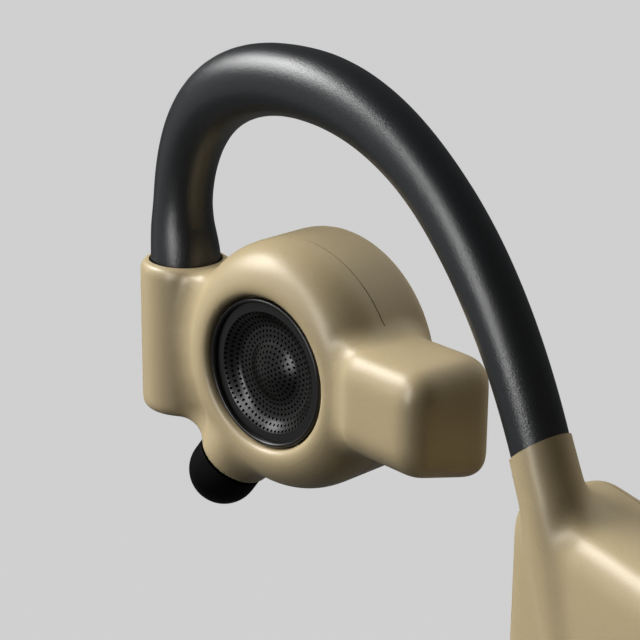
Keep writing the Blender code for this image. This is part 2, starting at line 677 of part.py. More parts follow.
def make_microphone(pod):
    """Domed cap on a spigot in the collar, with the capsule in it; own Z points out of the collar."""
    place = mic_place()
    pocket = CAPSULE_RADIUS + FINE
    top = GAP + MIC_STRAIGHT
    pocket_top = -MIC_SPIGOT_LENGTH + CAPSULE_LENGTH + FINE
    low = -MIC_SPIGOT_LENGTH
    profile = [(0.0, pocket_top), (pocket, pocket_top), (pocket, low), (MIC_SPIGOT, low), (MIC_SPIGOT, GAP)]
    profile += [(MIC_RADIUS, GAP)] + arc((0.0, top), (MIC_RADIUS, MIC_RADIUS), 0, 90, 2 * ARC_POINTS)[:-1]
    profile.append((0.0, top + MIC_RADIUS))
    add("mic_cap", turned(profile), "mic_black", pod, **place)
    can = disc(CAPSULE_RADIUS, low, low + CAPSULE_LENGTH, steps=SMALL_STEPS)
    add("mic_capsule", can, "steel", pod, **place)
    seat = washer(MIC_SPIGOT + FINE, MIC_SPIGOT + FINE + MIC_SEAT_WALL, low, -FINE)
    add("mic_seat", seat, "rubber", pod, **place)


def make_swivel(hook):
    """Stem that the barrel turns on, held by a washer and a clip in its groove."""
    groove = STEM_RADIUS - GROOVE_DEPTH
    low = CLIP_LOW - FINE
    foot = low - STEM_TAIL
    profile = [(STEM_BORE, foot), (STEM_RADIUS, foot), (STEM_RADIUS, low), (groove, low)]
    profile += [(groove, WASHER_LOW), (STEM_RADIUS, WASHER_LOW), (STEM_RADIUS, BARREL_FLOOR)]
    profile += [(STEM_NECK, BARREL_FLOOR), (STEM_NECK, STEM_TOP), (STEM_BORE, STEM_TOP)]
    add("swivel_stem", turned(profile, ring=True), "steel", hook)
    ring = washer(STEM_RADIUS + RUN, CHAMBER_RADIUS - RUN, WASHER_LOW, WASHER_LOW + WASHER_THICK)
    add("friction_washer", ring, "dark_plastic", hook)
    clip_high = CLIP_LOW + CLIP_THICK
    ring = washer(groove + FINE, CHAMBER_RADIUS - RUN, CLIP_LOW, clip_high)
    clip = add("stem_clip", ring, "steel", hook)
    mouth = block((-REACH, -CLIP_MOUTH / 2, CLIP_LOW - GAP), (0.0, CLIP_MOUTH / 2, clip_high + GAP))
    combine(clip, "DIFFERENCE", guide("clip_mouth", mouth, hook))


def make_hook(hook):
    """Soft sleeve with its spring wire and signal lead, and the ferrule that joins it to the housing."""
    points, radii = hook_route()
    sleeve = add("hook_sleeve", tube(points, radii, HOOK_SIDES), "soft_black", hook)
    first = next(i for i, point in enumerate(points) if point.z > STEM_TOP + LEAD_CLIMB)
    tail = points[-1]
    along = tail_direction()
    last = max(i for i, point in enumerate(points) if (point - tail).length > FERRULE_HOLD + GAP)
    core = points[first:last + 1]
    bore_line = [points[0] - Vector((0, 0, GAP))] + points + [tail + along * GAP]
    bore = guide("hook_bore", tube(bore_line, [HOOK_BORE] * len(bore_line), 2 * CORE_SIDES), hook)
    stem_socket = disc(STEM_NECK + FINE, HOOK_BASE - GAP, STEM_TOP + FINE)
    tail_socket = disc(FERRULE_RADIUS + FINE, -FERRULE_HOLD - FINE, GAP)
    combine(sleeve, "DIFFERENCE", bore, guide("stem_socket", stem_socket, hook),
            guide("tail_socket", tail_socket, hook, location=tail, toward=along))
    wire = offset_route(core, -WIRE_OFFSET)[1:-1]
    add("hook_wire", tube(wire, [WIRE_RADIUS] * len(wire), CORE_SIDES), "steel", hook)

    beside = offset_route(core, LEAD_OFFSET)
    entry = Vector((0, 0, CLIP_LOW))
    leave = tail + along * (SOCKET_LENGTH + HOUSING_WALL)
    line = [entry, Vector((0, 0, HOOK_BASE)), Vector((0, 0, STEM_TOP))] + beside
    line += [tail - along * FERRULE_HOLD, tail, leave]
    add("signal_lead", tube(line, [LEAD_RADIUS] * len(line), CORE_SIDES), "dark_plastic", hook)
    ferrule = washer(FERRULE_BORE, FERRULE_RADIUS, -FERRULE_HOLD, SOCKET_LENGTH, steps=SMALL_STEPS)
    add("rear_ferrule", ferrule, "steel", hook, location=tail, toward=along)


def housing_block(inset, low_side, high_side, edge=0.0):
    """The housing's form drawn in on its ends, top and floor; the top falls towards the rear end."""
    drawn = inset / math.cos(HOUSING_SLOPE)

    def corner(x, y, z):
        return (x, y, -x * TOP_FALL - drawn if z > FLOOR + inset else z)

    low = (inset, low_side, FLOOR + inset)
    high = (HOUSING_LENGTH - inset, high_side, 0.0)
    return block(low, high, edge, corner)


def across(bm):
    """Turns a piece made along Z to point along the housing's Y."""
    bm.transform(Matrix.Rotation(-math.pi / 2, 4, "X"))
    return bm


def make_housing_shells(housing, socket_axis):
    half = HOUSING_THICK / 2
    inner = add("housing_inner_shell", housing_block(0.0, -half, half, HOUSING_EDGE), "champagne", housing)
    outer = add("housing_outer_shell", housing_block(0.0, -half, half, HOUSING_EDGE), "champagne", housing)
    far = HOUSING_LENGTH + REACH
    lid_side = block((-REACH, SPLIT, -far), (far, REACH, REACH))
    body_side = block((-REACH, -REACH, -far), (far, SPLIT + SEAM, REACH))
    cavity = guide("housing_cavity", housing_block(HOUSING_WALL, INNER_FACE, OUTER_FACE), housing)

    mouth = Vector((SOCKET_SETBACK, -SOCKET_SIDE, 0)) - socket_axis * SOCKET_LENGTH
    toe = SOCKET_LENGTH + SOCKET_TOE
    profile = [(0.0, GAP), (SOCKET_RADIUS, GAP), (SOCKET_SWELL, SOCKET_LENGTH), (SOCKET_ROOT, toe)]
    profile.append((0.0, toe))
    socket = guide("socket_form", turned(profile), housing, location=mouth, toward=socket_axis)
    bore = disc(FERRULE_RADIUS + FINE, -GAP, SOCKET_LENGTH + 2 * HOUSING_WALL, steps=SMALL_STEPS)
    socket_bore = guide("socket_bore", bore, housing, location=mouth, toward=socket_axis)
    combine(inner, "DIFFERENCE", guide("lid_side", lid_side, housing))
    combine(inner, "UNION", socket)
    combine(inner, "DIFFERENCE", cavity, socket_bore)
    for number, x in enumerate(PIN_PLACES, 1):
        hole = disc(PIN_RADIUS + FINE, FLOOR - GAP, FLOOR + HOUSING_WALL + GAP, steps=SMALL_STEPS)
        combine(inner, "DIFFERENCE", guide(f"pin_hole_{number}", hole, housing, location=(x, -PIN_SIDE, 0)))

    combine(outer, "DIFFERENCE", guide("body_side", body_side, housing), cavity)
    for number, (x, level) in enumerate((FRONT_SCREW, REAR_SCREW), 1):
        boss = across(washer(BOSS_HOLE, BOSS_RADIUS, BOARD_OUT + FINE, OUTER_FACE + FINE, steps=SMALL_STEPS))
        combine(outer, "UNION", guide(f"boss_{number}", boss, housing, location=(x, 0, level)))
    power_hole = across(disc(POWER_RADIUS + RUN, SPLIT, REACH))
    rocker_hole = capsule(ROCKER_LENGTH + 2 * RUN, ROCKER_WIDTH + 2 * RUN, SPLIT, REACH)
    light_hole = across(disc(LIGHT_RADIUS + FINE, SPLIT, REACH, steps=SMALL_STEPS))
    combine(outer, "DIFFERENCE",
            guide("power_hole", power_hole, housing, location=(POWER_PLACE, 0, CONTROL_LEVEL)),
            guide("rocker_hole", rocker_hole, housing, location=(ROCKER_MIDDLE, 0, CONTROL_LEVEL)),
            guide("light_hole", light_hole, housing, location=(POWER_PLACE, 0, LIGHT_LEVEL)))

    seal_in = HOUSING_WALL + FINE + SEAL_WALL
    low = SPLIT - SEAL_OVERLAP
    high = OUTER_FACE - FINE
    seal = add("housing_seal", housing_block(HOUSING_WALL + FINE, low, high), "rubber", housing)
    combine(seal, "DIFFERENCE", guide("seal_hole", housing_block(seal_in, low - GAP, high + GAP), housing))


def make_housing_inside(housing):
    """Board on the lid's bosses, the cell on its pad, radio shield, antenna, screws and charging pins."""
    board = add("main_board", housing_block(BOARD_INSET, BOARD_IN, BOARD_OUT), "board", housing)
    for number, (x, level) in enumerate((FRONT_SCREW, REAR_SCREW), 1):
        place = (x, 0, level)
        hole = across(disc(SCREW_SHANK + FINE, BOARD_IN - GAP, BOARD_OUT + GAP, steps=SMALL_STEPS))
        combine(board, "DIFFERENCE", guide(f"board_hole_{number}", hole, housing, location=place))
        head = BOARD_IN - FINE
        tip = BOARD_OUT + FINE + SCREW_BITE
        profile = [(0.0, head - SCREW_HEAD_THICK), (SCREW_HEAD, head - SCREW_HEAD_THICK), (SCREW_HEAD, head)]
        profile += [(SCREW_SHANK, head), (SCREW_SHANK, tip), (0.0, tip)]
        add(f"board_screw_{number}", across(turned(profile, SMALL_STEPS)), "steel", housing, location=place)

    cell_low = (CELL_START, CELL_FRONT, CELL_LOW)
    cell_high = (CELL_END, CELL_BACK, CELL_HIGH)
    add("battery_cell", block(cell_low, cell_high, CELL_EDGE), "cell", housing)
    pad_low = (CELL_START + CELL_EDGE, PAD_FRONT, CELL_LOW + CELL_EDGE)
    pad_high = (CELL_END - CELL_EDGE, PAD_FRONT + PAD_THICK, CELL_HIGH - CELL_EDGE)
    add("battery_pad", block(pad_low, pad_high), "foam", housing)

    radio_low = (RADIO_START, BOARD_IN - FINE - RADIO_THICK, RADIO_LOW)
    radio_high = (RADIO_START + RADIO_LENGTH, BOARD_IN - FINE, RADIO_LOW + RADIO_HEIGHT)
    add("radio_shield", block(radio_low, radio_high), "steel", housing)
    antenna_low = (ANTENNA_START, BOARD_OUT + FINE, ANTENNA_TOP - ANTENNA_HEIGHT)
    antenna_high = (ANTENNA_END, BOARD_OUT + FINE + ANTENNA_THICK, ANTENNA_TOP)
    add("antenna", block(antenna_low, antenna_high), "cell", housing)

    tip = FLOOR + PIN_RECESS
    inside = FLOOR + HOUSING_WALL + FINE
    wide = PIN_RADIUS + PIN_FLANGE
    for number, x in enumerate(PIN_PLACES, 1):
        profile = [(0.0, tip), (PIN_RADIUS, tip), (PIN_RADIUS, inside), (wide, inside)]
        profile += [(wide, inside + PIN_FLANGE_THICK), (0.0, inside + PIN_FLANGE_THICK)]
        pin = turned(profile, SMALL_STEPS)
        add(f"charging_pin_{number}", pin, "gold", housing, location=(x, -PIN_SIDE, 0))


def make_controls(housing):
    """Power button, volume rocker, their switches and the status light, all on the outer face."""
    half = SWITCH_SIZE / 2
    places = {
        "power_switch": POWER_PLACE,
        "volume_down_switch": ROCKER_START + half,
        "volume_up_switch": ROCKER_END - half,
    }
    for name, x in places.items():
        box = block((x - half, BOARD_OUT + FINE, -half), (x + half, SWITCH_OUT, half))
        add(name, box, "steel", housing, location=(0, 0, CONTROL_LEVEL))

    edge = BUTTON_EDGE
    stem = POWER_RADIUS / 2
    stem_end = FLANGE_IN - POWER_STEM
    wide = POWER_RADIUS + POWER_FLANGE
    profile = [(0.0, stem_end), (stem, stem_end), (stem, FLANGE_IN), (wide, FLANGE_IN)]
    profile += [(wide, FLANGE_OUT), (POWER_RADIUS, FLANGE_OUT)]
    profile += arc((POWER_RADIUS - edge, BUTTON_TOP - edge), (edge, edge), 0, 90) + [(0.0, BUTTON_TOP)]
    button = across(turned(profile))
    add("power_button", button, "champagne", housing, location=(POWER_PLACE, 0, CONTROL_LEVEL))

    pivot = empty("rocker_axis", (ROCKER_MIDDLE, ROCKER_AXIS, CONTROL_LEVEL))
    pivot.parent = housing
    cap = capsule(ROCKER_LENGTH, ROCKER_WIDTH, 0.0, BUTTON_TOP - ROCKER_AXIS, BUTTON_EDGE)
    rocker = add("volume_rocker", cap, "champagne", pivot)
    flange = capsule(ROCKER_LENGTH + 2 * ROCKER_FLANGE, ROCKER_WIDTH + 2 * ROCKER_FLANGE,
                     -FLANGE_THICK / 2, FLANGE_THICK / 2)
    combine(rocker, "UNION", guide("rocker_flange", flange, pivot))

    led_half = LED_SIZE / 2
    led_out = BOARD_OUT + FINE + LED_THICK
    light_place = (POWER_PLACE, 0, LIGHT_LEVEL)
    led = block((-led_half, BOARD_OUT + FINE, -led_half), (led_half, led_out, led_half))
    add("status_led", led, "light", housing, location=light_place)
    pipe = across(disc(LIGHT_RADIUS, led_out + FINE, HOUSING_THICK / 2, steps=SMALL_STEPS))
    add("light_pipe", pipe, "light", housing, location=light_place)


def main():
    clear_scene()
    make_finishes()
    hook, pod, housing, socket_axis = make_frames()
    make_pod_shells(pod)
    make_grille(pod)
    make_driver(pod)
    make_microphone(pod)
    make_swivel(hook)
    make_hook(hook)
    make_housing_shells(housing, socket_axis)
    make_housing_inside(housing)
    make_controls(housing)


main()
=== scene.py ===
"""Dresses the ear-hook headset: blended metallic shells, a perforated speaker grille, a soft hook, a stub
microphone and the housing behind the ear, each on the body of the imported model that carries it."""

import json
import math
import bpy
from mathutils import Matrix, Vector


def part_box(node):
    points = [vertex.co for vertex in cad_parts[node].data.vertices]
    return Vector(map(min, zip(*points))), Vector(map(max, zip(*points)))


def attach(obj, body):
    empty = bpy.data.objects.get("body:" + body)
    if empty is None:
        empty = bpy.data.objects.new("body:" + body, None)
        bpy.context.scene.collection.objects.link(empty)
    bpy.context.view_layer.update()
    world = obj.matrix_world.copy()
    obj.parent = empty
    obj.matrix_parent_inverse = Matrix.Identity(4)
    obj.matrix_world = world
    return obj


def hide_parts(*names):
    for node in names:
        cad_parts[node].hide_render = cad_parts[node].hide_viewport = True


bl_info = {
    "name": "Ear-hook Headset",
    "version": (1, 0, 0),
    "blender": (4, 5, 0),
    "location": "View3D > Sidebar > Headset",
    "description": "Builds the shells, grille, hook and finishes of an ear-hook headset on its packed model",
    "category": "Object",
}

import bmesh
import bpy
from bpy.props import FloatProperty, FloatVectorProperty, IntProperty, PointerProperty
from mathutils import Matrix, Vector

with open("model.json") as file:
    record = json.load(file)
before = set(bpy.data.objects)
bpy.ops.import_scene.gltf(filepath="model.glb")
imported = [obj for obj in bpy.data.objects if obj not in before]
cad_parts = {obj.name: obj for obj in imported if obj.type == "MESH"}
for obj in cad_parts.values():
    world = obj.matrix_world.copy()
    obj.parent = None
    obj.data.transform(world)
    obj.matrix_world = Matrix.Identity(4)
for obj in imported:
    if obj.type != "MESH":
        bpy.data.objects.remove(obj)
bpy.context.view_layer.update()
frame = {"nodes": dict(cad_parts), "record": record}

TURN_TO_DEPTH = Matrix.Rotation(-math.pi / 2, 4, "X")
PINS = ("charging_pin_1", "charging_pin_2")
SCREWS = ("board_screw_1", "board_screw_2")

# Lengths in metres that serve many pieces.
MILLI = 0.001  # one millimetre
HAIR = 0.0001  # overlap of solids that are joined, and the finest chamfer
DRILL = 0.004  # length of a drill through a thin wall
FAR = 0.02  # how far a cutting tool runs past what it cuts
PARTING = 0.03  # reach of the tool that parts the pod's two shells
MERGE = 1e-8  # points nearer than this are one

# Mesh steps of a full turn, from the widest pieces to the smallest, and of rounded edges.
FINE_TURN = 144
TURN = 96
HOLE_TURN = 64
KEY_TURN = 48
BORE_TURN = 32
BOSS_TURN = 24
PORT_SIDES = 12
HOLE_SIDES = 10
EDGE_STEPS = 8
HOUSING_EDGE_STEPS = 10
KEY_EDGE_STEPS = 6

# Rounds of smoothing that follow each voxel skin.
MENDING = 4

# The camera's sensor in millimetres, and the nearest distance that it draws.
SENSOR = 36.0
NEAR = 0.005

# Each lamp: its power's setting, its direction from the object, its width and height, and whether it lights
# surfaces and whether it shows in their gloss.
LAMPS = {
    "key_light": ("key", (-0.76, -0.28, 0.59), 0.26, 0.20, True, True),
    "over_strip": ("over", (-0.49, -0.49, 0.72), 0.62, 0.07, False, True),
    "front_strip": ("front", (0.02, -0.97, 0.24), 0.10, 0.35, False, True),
    "side_panel": ("side", (-0.66, -0.60, 0.45), 0.50, 0.40, True, False),
    "side_glow": ("glow", (-0.80, -0.58, 0.12), 0.60, 0.60, False, True),
    "rim_light": ("rim", (-0.05, 0.85, 0.52), 0.50, 0.40, True, False),
}


def length(name, description, default):
    return FloatProperty(name=name, description=description, default=default, min=0.0, precision=5,
                         subtype="DISTANCE", unit="LENGTH")


def angle(name, description, degrees):
    return FloatProperty(name=name, description=description, default=math.radians(degrees), subtype="ANGLE",
                         unit="ROTATION")


def amount(name, description, default):
    return FloatProperty(name=name, description=description, default=default, min=0.0, subtype="FACTOR")


def count(name, description, default):
    return IntProperty(name=name, description=description, default=default, min=1)


def colour(name, description, default):
    return FloatVectorProperty(name=name, description=description, default=default, size=3, min=0.0, max=1.0,
                               subtype="COLOR")


def power(name, description, default):
    return FloatProperty(name=name, description=description, default=default, min=0.0, unit="POWER")


class PodSettings(bpy.types.PropertyGroup):
    radius: length("Radius", "Radius of the pod's straight rear part", 0.0109)
    back: length("Depth", "From the grille's rim plane to the flat back", 0.0096)
    back_edge: length("Back edge", "Round of the back's edge", 0.0009)
    wall: length("Wall", "Thickness of the shells", 0.0012)
    mouth: length("Mouth radius", "Radius of the opening round the grille", 0.0066)
    nose_rise: length("Nose rise", "How far the ring stands in front of the grille", 0.0008)
    nose_radius: length("Nose radius", "Radius of the ring's foremost line", 0.0073)
    nose_depth: length("Nose depth", "Where the ring's round reaches the full radius", 0.0034)
    ledge_inner: length("Ledge inner radius", "Inner radius of the ledge behind the grille", 0.0059)
    ledge_outer: length("Ledge outer radius", "Outer radius of the ledge behind the grille", 0.0072)
    ledge_front: length("Ledge front", "From the grille's rim plane to the ledge's front", 0.0004)
    ledge_back: length("Ledge back", "From the grille's rim plane to the ledge's back", 0.0014)
    seam_depth: length("Seam depth", "Where the parting line runs round the pod", 0.0041)
    seam_width: length("Seam width", "Open width of the parting line", 0.00011)
    cover_gap: length("Cover gap", "How far the rear cover stays off the barrel and the collar", 0.0009)
    cover_wing_gap: length("Cover wing gap", "How far the rear cover stays off the wing", 0.0011)
    cover_wing_edge: length("Cover wing edge", "Round of the rear cover's corners at the wing", 0.0028)
    barrel_reach: length("Barrel reach", "From the speaker's axis to the barrel's", 0.01365)
    barrel_depth: length("Barrel depth", "From the grille's rim plane to the barrel's axis", 0.0034)
    barrel_radius: length("Barrel radius", "Radius of the barrel", 0.00405)
    barrel_top: length("Barrel top", "Height of the barrel over the speaker's axis", 0.0065)
    barrel_bottom: length("Barrel bottom", "Depth of the barrel under the speaker's axis", 0.0074)
    barrel_edge: length("Barrel edge", "Round of the barrel's rims", 0.0008)
    recess_radius: length("Recess radius", "Radius of the recess that takes the hook", 0.0033)
    recess_depth: length("Recess depth", "Depth of the recess that takes the hook", 0.0008)
    chamber: length("Chamber radius", "Radius of the swivel's chamber in the barrel", 0.0029)
    shoulder: length("Shoulder", "Height of the swivel's chamber over the barrel's lower end", 0.0037)
    stem_hole: length("Stem hole", "Radius of the hole for the swivel's stem", 0.0023)
    plug_radius: length("Plug radius", "Radius of the plug under the barrel", 0.0028)
    plug_height: length("Plug height", "Height of the plug under the barrel", 0.0010)
    plug_edge: length("Plug edge", "Round of the plug's rim", 0.00025)
    plug_dish: length("Plug dish", "Radius of the dish in the plug", 0.0013)
    plug_dish_depth: length("Plug dish depth", "Depth of the dish in the plug", 0.0002)
    wing_end: length("Wing end", "From the speaker's axis to the wing's end", 0.0188)
    wing_in: length("Wing inner side", "How far the wing stands in front of the grille's rim plane", 0.0004)
    wing_out: length("Wing outer side", "How far the wing reaches behind the grille's rim plane", 0.0089)
    wing_top: length("Wing top", "Height of the wing over the speaker's axis", 0.0047)
    wing_low_in: length("Wing inner underside", "Depth of the inner underside", 0.0040)
    wing_low_out: length("Wing outer underside", "Depth of the outer underside", 0.0063)
    wing_edge: length("Wing edge", "Round of the wing's edges", 0.0024)
    wing_yaw: angle("Wing yaw", "How far the wing turns towards the head", 6)
    collar_radius: length("Collar radius", "Radius of the microphone's collar", 0.0034)
    collar_flare: length("Collar flare", "How much wider the collar is at its root", 0.0006)
    collar_edge: length("Collar edge", "Round of the collar's rim", 0.0004)
    blend: length("Blend", "Radius of the fillets between the pod, barrel, wing and collar", 0.0022)
    grain: length("Mesh grain", "Spacing of the blended surface's mesh", 0.00018)
    smoothing: count("Smoothing", "Last rounds of smoothing of the blended surface", 14)


class GrilleSettings(bpy.types.PropertyGroup):
    radius: length("Radius", "Radius of the perforated sheet", 0.0064)
    dish: length("Dish", "Depth of the dished ring", 0.0009)
    dome: length("Dome radius", "Radius of the dome in the middle", 0.00275)
    dome_rise: length("Dome rise", "Height of the dome over the dish", 0.00075)
    ramp_foot: length("Ramp foot", "Radius where the dish starts to rise to the rim", 0.0038)
    ramp_top: length("Ramp top", "Radius where the dish reaches the rim", 0.0053)
    sheet: length("Sheet", "Thickness of the sheet", 0.0003)
    pitch: length("Hole pitch", "Spacing of the rings of holes", 0.00043)
    hole: length("Hole radius", "Radius of one hole", 0.000115)
    drill_middle: length("Drill middle", "Depth of the middle of the drills that cut the holes", 0.0005)
    rings: count("Rings", "Rings of holes round the middle one", 12)
    steps: count("Steps", "Mesh steps along each slope of the sheet", 14)
    ring_width: length("Ring width", "Width of the rolled ring round the sheet", 0.00042)
    ring_rise: length("Ring rise", "Height of the ring's round", 0.00032)
    ring_foot: length("Ring foot", "How far the ring's foot stands off the sheet", 0.00002)


class MicrophoneSettings(bpy.types.PropertyGroup):
    angle: angle("Angle", "How far forward of straight down the stub points", 33.5)
    lean: angle("Lean", "How far the stub leans to the head", 10)
    depth: length("Depth", "From the grille's rim plane to the collar's middle", 0.0026)
    reach: length("Reach", "From the speaker's axis to the collar's end", 0.0125)
    seat_radius: length("Seat radius", "Radius of the collar's bore", 0.00265)
    seat_depth: length("Seat depth", "Depth of the collar's bore", 0.0050)
    radius: length("Radius", "Radius of the domed cap", 0.00315)
    straight: length("Straight", "Straight part of the cap under its dome", 0.0014)
    gap: length("Gap", "Line between the collar and the cap", 0.00015)
    edge: length("Edge", "Round of the cap's lower rim", 0.00012)
    skirt: length("Skirt", "Depth of the cap's skirt in the collar", 0.0022)
    skirt_radius: length("Skirt radius", "Outer radius of the skirt", 0.00195)
    pocket: length("Pocket", "Radius of the capsule's pocket in the cap", 0.0015)
    roof: length("Roof", "Height of the pocket's roof over the collar's end", 0.0003)
    ports: count("Ports", "Sound ports round the middle one", 6)
    port: length("Port radius", "Radius of one sound port in the dome", 0.00022)
    port_circle: length("Port circle", "Radius of the circle of sound ports", 0.0008)
    port_floor: length("Port floor", "Height over the collar's end at which the ports stop", 0.0016)


class HookSettings(bpy.types.PropertyGroup):
    yaw: angle("Yaw", "How far the hook's plane turns towards the head", 5)
    base_gap: length("Base gap", "From the recess's floor to the hook's base", 0.0003)
    neck_lean: length("Neck lean", "How far the neck leans forward", 0.00038)
    neck_rise: length("Neck rise", "Height of the neck over the speaker's axis", 0.0098)
    crest_run: length("Crest run", "From the barrel's axis back to the crest", 0.0161)
    crest_rise: length("Crest rise", "Height of the crest over the speaker's axis", 0.0247)
    tail_run: length("Tail run", "From the barrel's axis back to the tail", 0.0430)
    tail_rise: length("Tail rise", "Height of the tail over the speaker's axis", 0.0018)
    tail_angle: angle("Tail angle", "Slope of the tail from straight down", 22)
    tail_gap: length("Tail gap", "Line between the skin's end and the housing", 0.00004)
    neck_handle: length("Neck handle", "Length of the curve's handle at the neck", 0.0100)
    front_handle: length("Front handle", "Length of the crest's forward handle", 0.0101)
    rear_handle: length("Rear handle", "Length of the crest's rearward handle", 0.0126)
    tail_handle: length("Tail handle", "Length of the curve's handle at the tail", 0.0141)
    base_radius: length("Base radius", "Radius in the barrel", 0.0031)
    neck_radius: length("Neck radius", "Radius above the barrel", 0.0026)
    arch_radius: length("Arch radius", "Radius in front of the crest", 0.00305)
    crest_radius: length("Crest radius", "Radius at the crest", 0.0029)
    slope_radius: length("Slope radius", "Radius behind the crest", 0.0024)
    tail_radius: length("Tail radius", "Radius at the housing", 0.0023)
    steps: count("Steps", "Mesh steps in one stretch of the hook", 60)
    round_steps: count("Round steps", "The curve's bevel resolution round the hook", 22)


class HousingSettings(bpy.types.PropertyGroup):
    yaw: angle("Yaw", "How far the housing turns towards the head", 16)
    span: length("Length", "Length of the housing", 0.030)
    height: length("Height", "Height of the front end", 0.019)
    thick: length("Thickness", "Thickness across the head's side", 0.010)
    slope: angle("Top slope", "Fall of the top towards the rear end", 3)
    edge: length("Edge", "Round of the housing's edges", 0.0028)
    wall: length("Wall", "Thickness of the shells", 0.0012)
    lid: length("Lid depth", "Depth of the outer shell", 0.0020)
    seam_width: length("Seam width", "Open width between the two shells", 0.00012)
    socket: length("Socket", "Length of the column that takes the hook", 0.0043)
    socket_setback: length("Socket setback", "From the front end to the column's axis", 0.0045)
    socket_side: length("Socket side", "From the middle to the column's axis", 0.0034)
    socket_radius: length("Socket radius", "Radius of the column's mouth", 0.00245)
    socket_swell: length("Socket swell", "Radius of the column at the housing's top", 0.0026)
    socket_root: length("Socket root", "Radius where the column fades into the face", 0.0020)
    socket_toe: length("Socket toe", "Length over which the column fades", 0.0080)
    bore: length("Bore", "Radius of the bore for the hook's wire and lead", 0.0015)
    mouth_tilt: angle("Mouth tilt", "How far the column's mouth tilts to the front", 23)
    mouth_cut: length("Mouth cut", "Reach of the cut across the column's mouth", 0.006)
    rib: length("Rib length", "Length of the ridge that runs down the face from the column", 0.0170)
    rib_slope: angle("Rib slope", "Slope of the ridge from straight down", 17)
    rib_end: length("Rib end", "Radius of the ridge at its lower end", 0.0040)
    rib_rise: length("Rib rise", "How far the ridge's lower end stands out of the face", 0.00008)
    blend: length("Blend", "Radius of the fillet between the column and the housing", 0.0024)
    grain: length("Mesh grain", "Spacing of the blended surface's mesh", 0.00018)
    smoothing: count("Smoothing", "Last rounds of smoothing of the blended surface", 40)
    pin_hole: length("Pin hole", "Radius of the holes for the charging pins", 0.0009)
    button_hole: length("Button hole", "Radius of the power button's hole", 0.0027)
    light_hole: length("Light hole", "Radius of the light guide's hole", 0.0007)
    rocker_gap: length("Rocker gap", "How much wider and longer than the rocker its opening is", 0.0004)
    boss_bore: length("Boss bore", "Radius of the bore in a screw boss", 0.0006)
    boss_radius: length("Boss radius", "Radius of a screw boss", 0.0013)
    boss_foot: length("Boss foot", "From the housing's middle to a screw boss's foot", 0.0018)


class ControlSettings(bpy.types.PropertyGroup):
    rise: length("Rise", "How far the keys stand out of the outer face", 0.0004)
    edge: length("Edge", "Round of the keys' edges", 0.0004)
    button_radius: length("Button radius", "Radius of the power button", 0.0025)
    button_dish: length("Button dish", "Radius of the dish in the power button", 0.0016)
    button_bed: length("Button bed", "Radius of the lower part of the dish", 0.0009)
    button_dish_rim: length("Dish rim", "Depth at the dish's rim", 0.00002)
    button_bed_rim: length("Bed rim", "Depth at the rim of the lower part", 0.00014)
    button_bed_depth: length("Bed depth", "Depth of the dish in its middle", 0.0002)
    flange_radius: length("Flange radius", "Radius of the power button's flange", 0.0033)
    flange_thick: length("Flange thickness", "Thickness of the power button's flange", 0.0006)
    nub_radius: length("Nub radius", "Radius of the nub that presses the switch", 0.00125)
    nub_depth: length("Nub depth", "From the flange's outer side to the nub's end", 0.00085)
    rocker_span: length("Rocker length", "Length of the volume rocker", 0.0109)
    rocker_width: length("Rocker width", "Width of the volume rocker", 0.0036)
    skirt: length("Skirt", "How much wider and longer than the rocker its skirt is", 0.0012)
    skirt_low: length("Skirt underside", "From the rocker's axis to the skirt's underside", 0.00024)
    skirt_high: length("Skirt top", "From the rocker's axis to the skirt's top", 0.0003)
    mark_inset: length("Mark inset", "From the rocker's ends to the middle of its marks", 0.0020)
    mark_arm: length("Mark arm", "Half the length of a mark", 0.0007)
    mark_half: length("Mark half width", "Half the width of a mark", 0.00014)
    mark_depth: length("Mark depth", "Depth of a mark", 0.00015)
    light_radius: length("Light radius", "Radius of the light guide", 0.0006)
    light_foot: length("Light foot", "From the housing's middle to the light guide's foot", 0.0024)
    pin_radius: length("Pin radius", "Radius of a charging pin", 0.0008)
    pin_edge: length("Pin edge", "Round of a charging pin's rim", 0.00012)
    pin_dish: length("Pin dish", "Radius of the dish in a charging pin", 0.0005)
    pin_flange: length("Pin flange", "Radius of a charging pin's flange", 0.0013)
    pin_neck: length("Pin neck", "Height of a charging pin up to its flange", 0.0013)
    pin_height: length("Pin height", "Height of a charging pin with its flange", 0.0017)


class FinishSettings(bpy.types.PropertyGroup):
    champagne: colour("Champagne", "Satin metallic paint of the shells", (0.51, 0.408, 0.235))
    soft_black: colour("Soft black", "Soft-touch skin of the hook", (0.0085, 0.0105, 0.0125))
    grille_black: colour("Grille black", "Painted steel of the grille", (0.007, 0.0066, 0.0062))
    mic_black: colour("Microphone black", "Matte cap of the microphone", (0.0016, 0.0016, 0.0016))
    backdrop: colour("Backdrop", "Pale floor and background", (0.668, 0.668, 0.668))


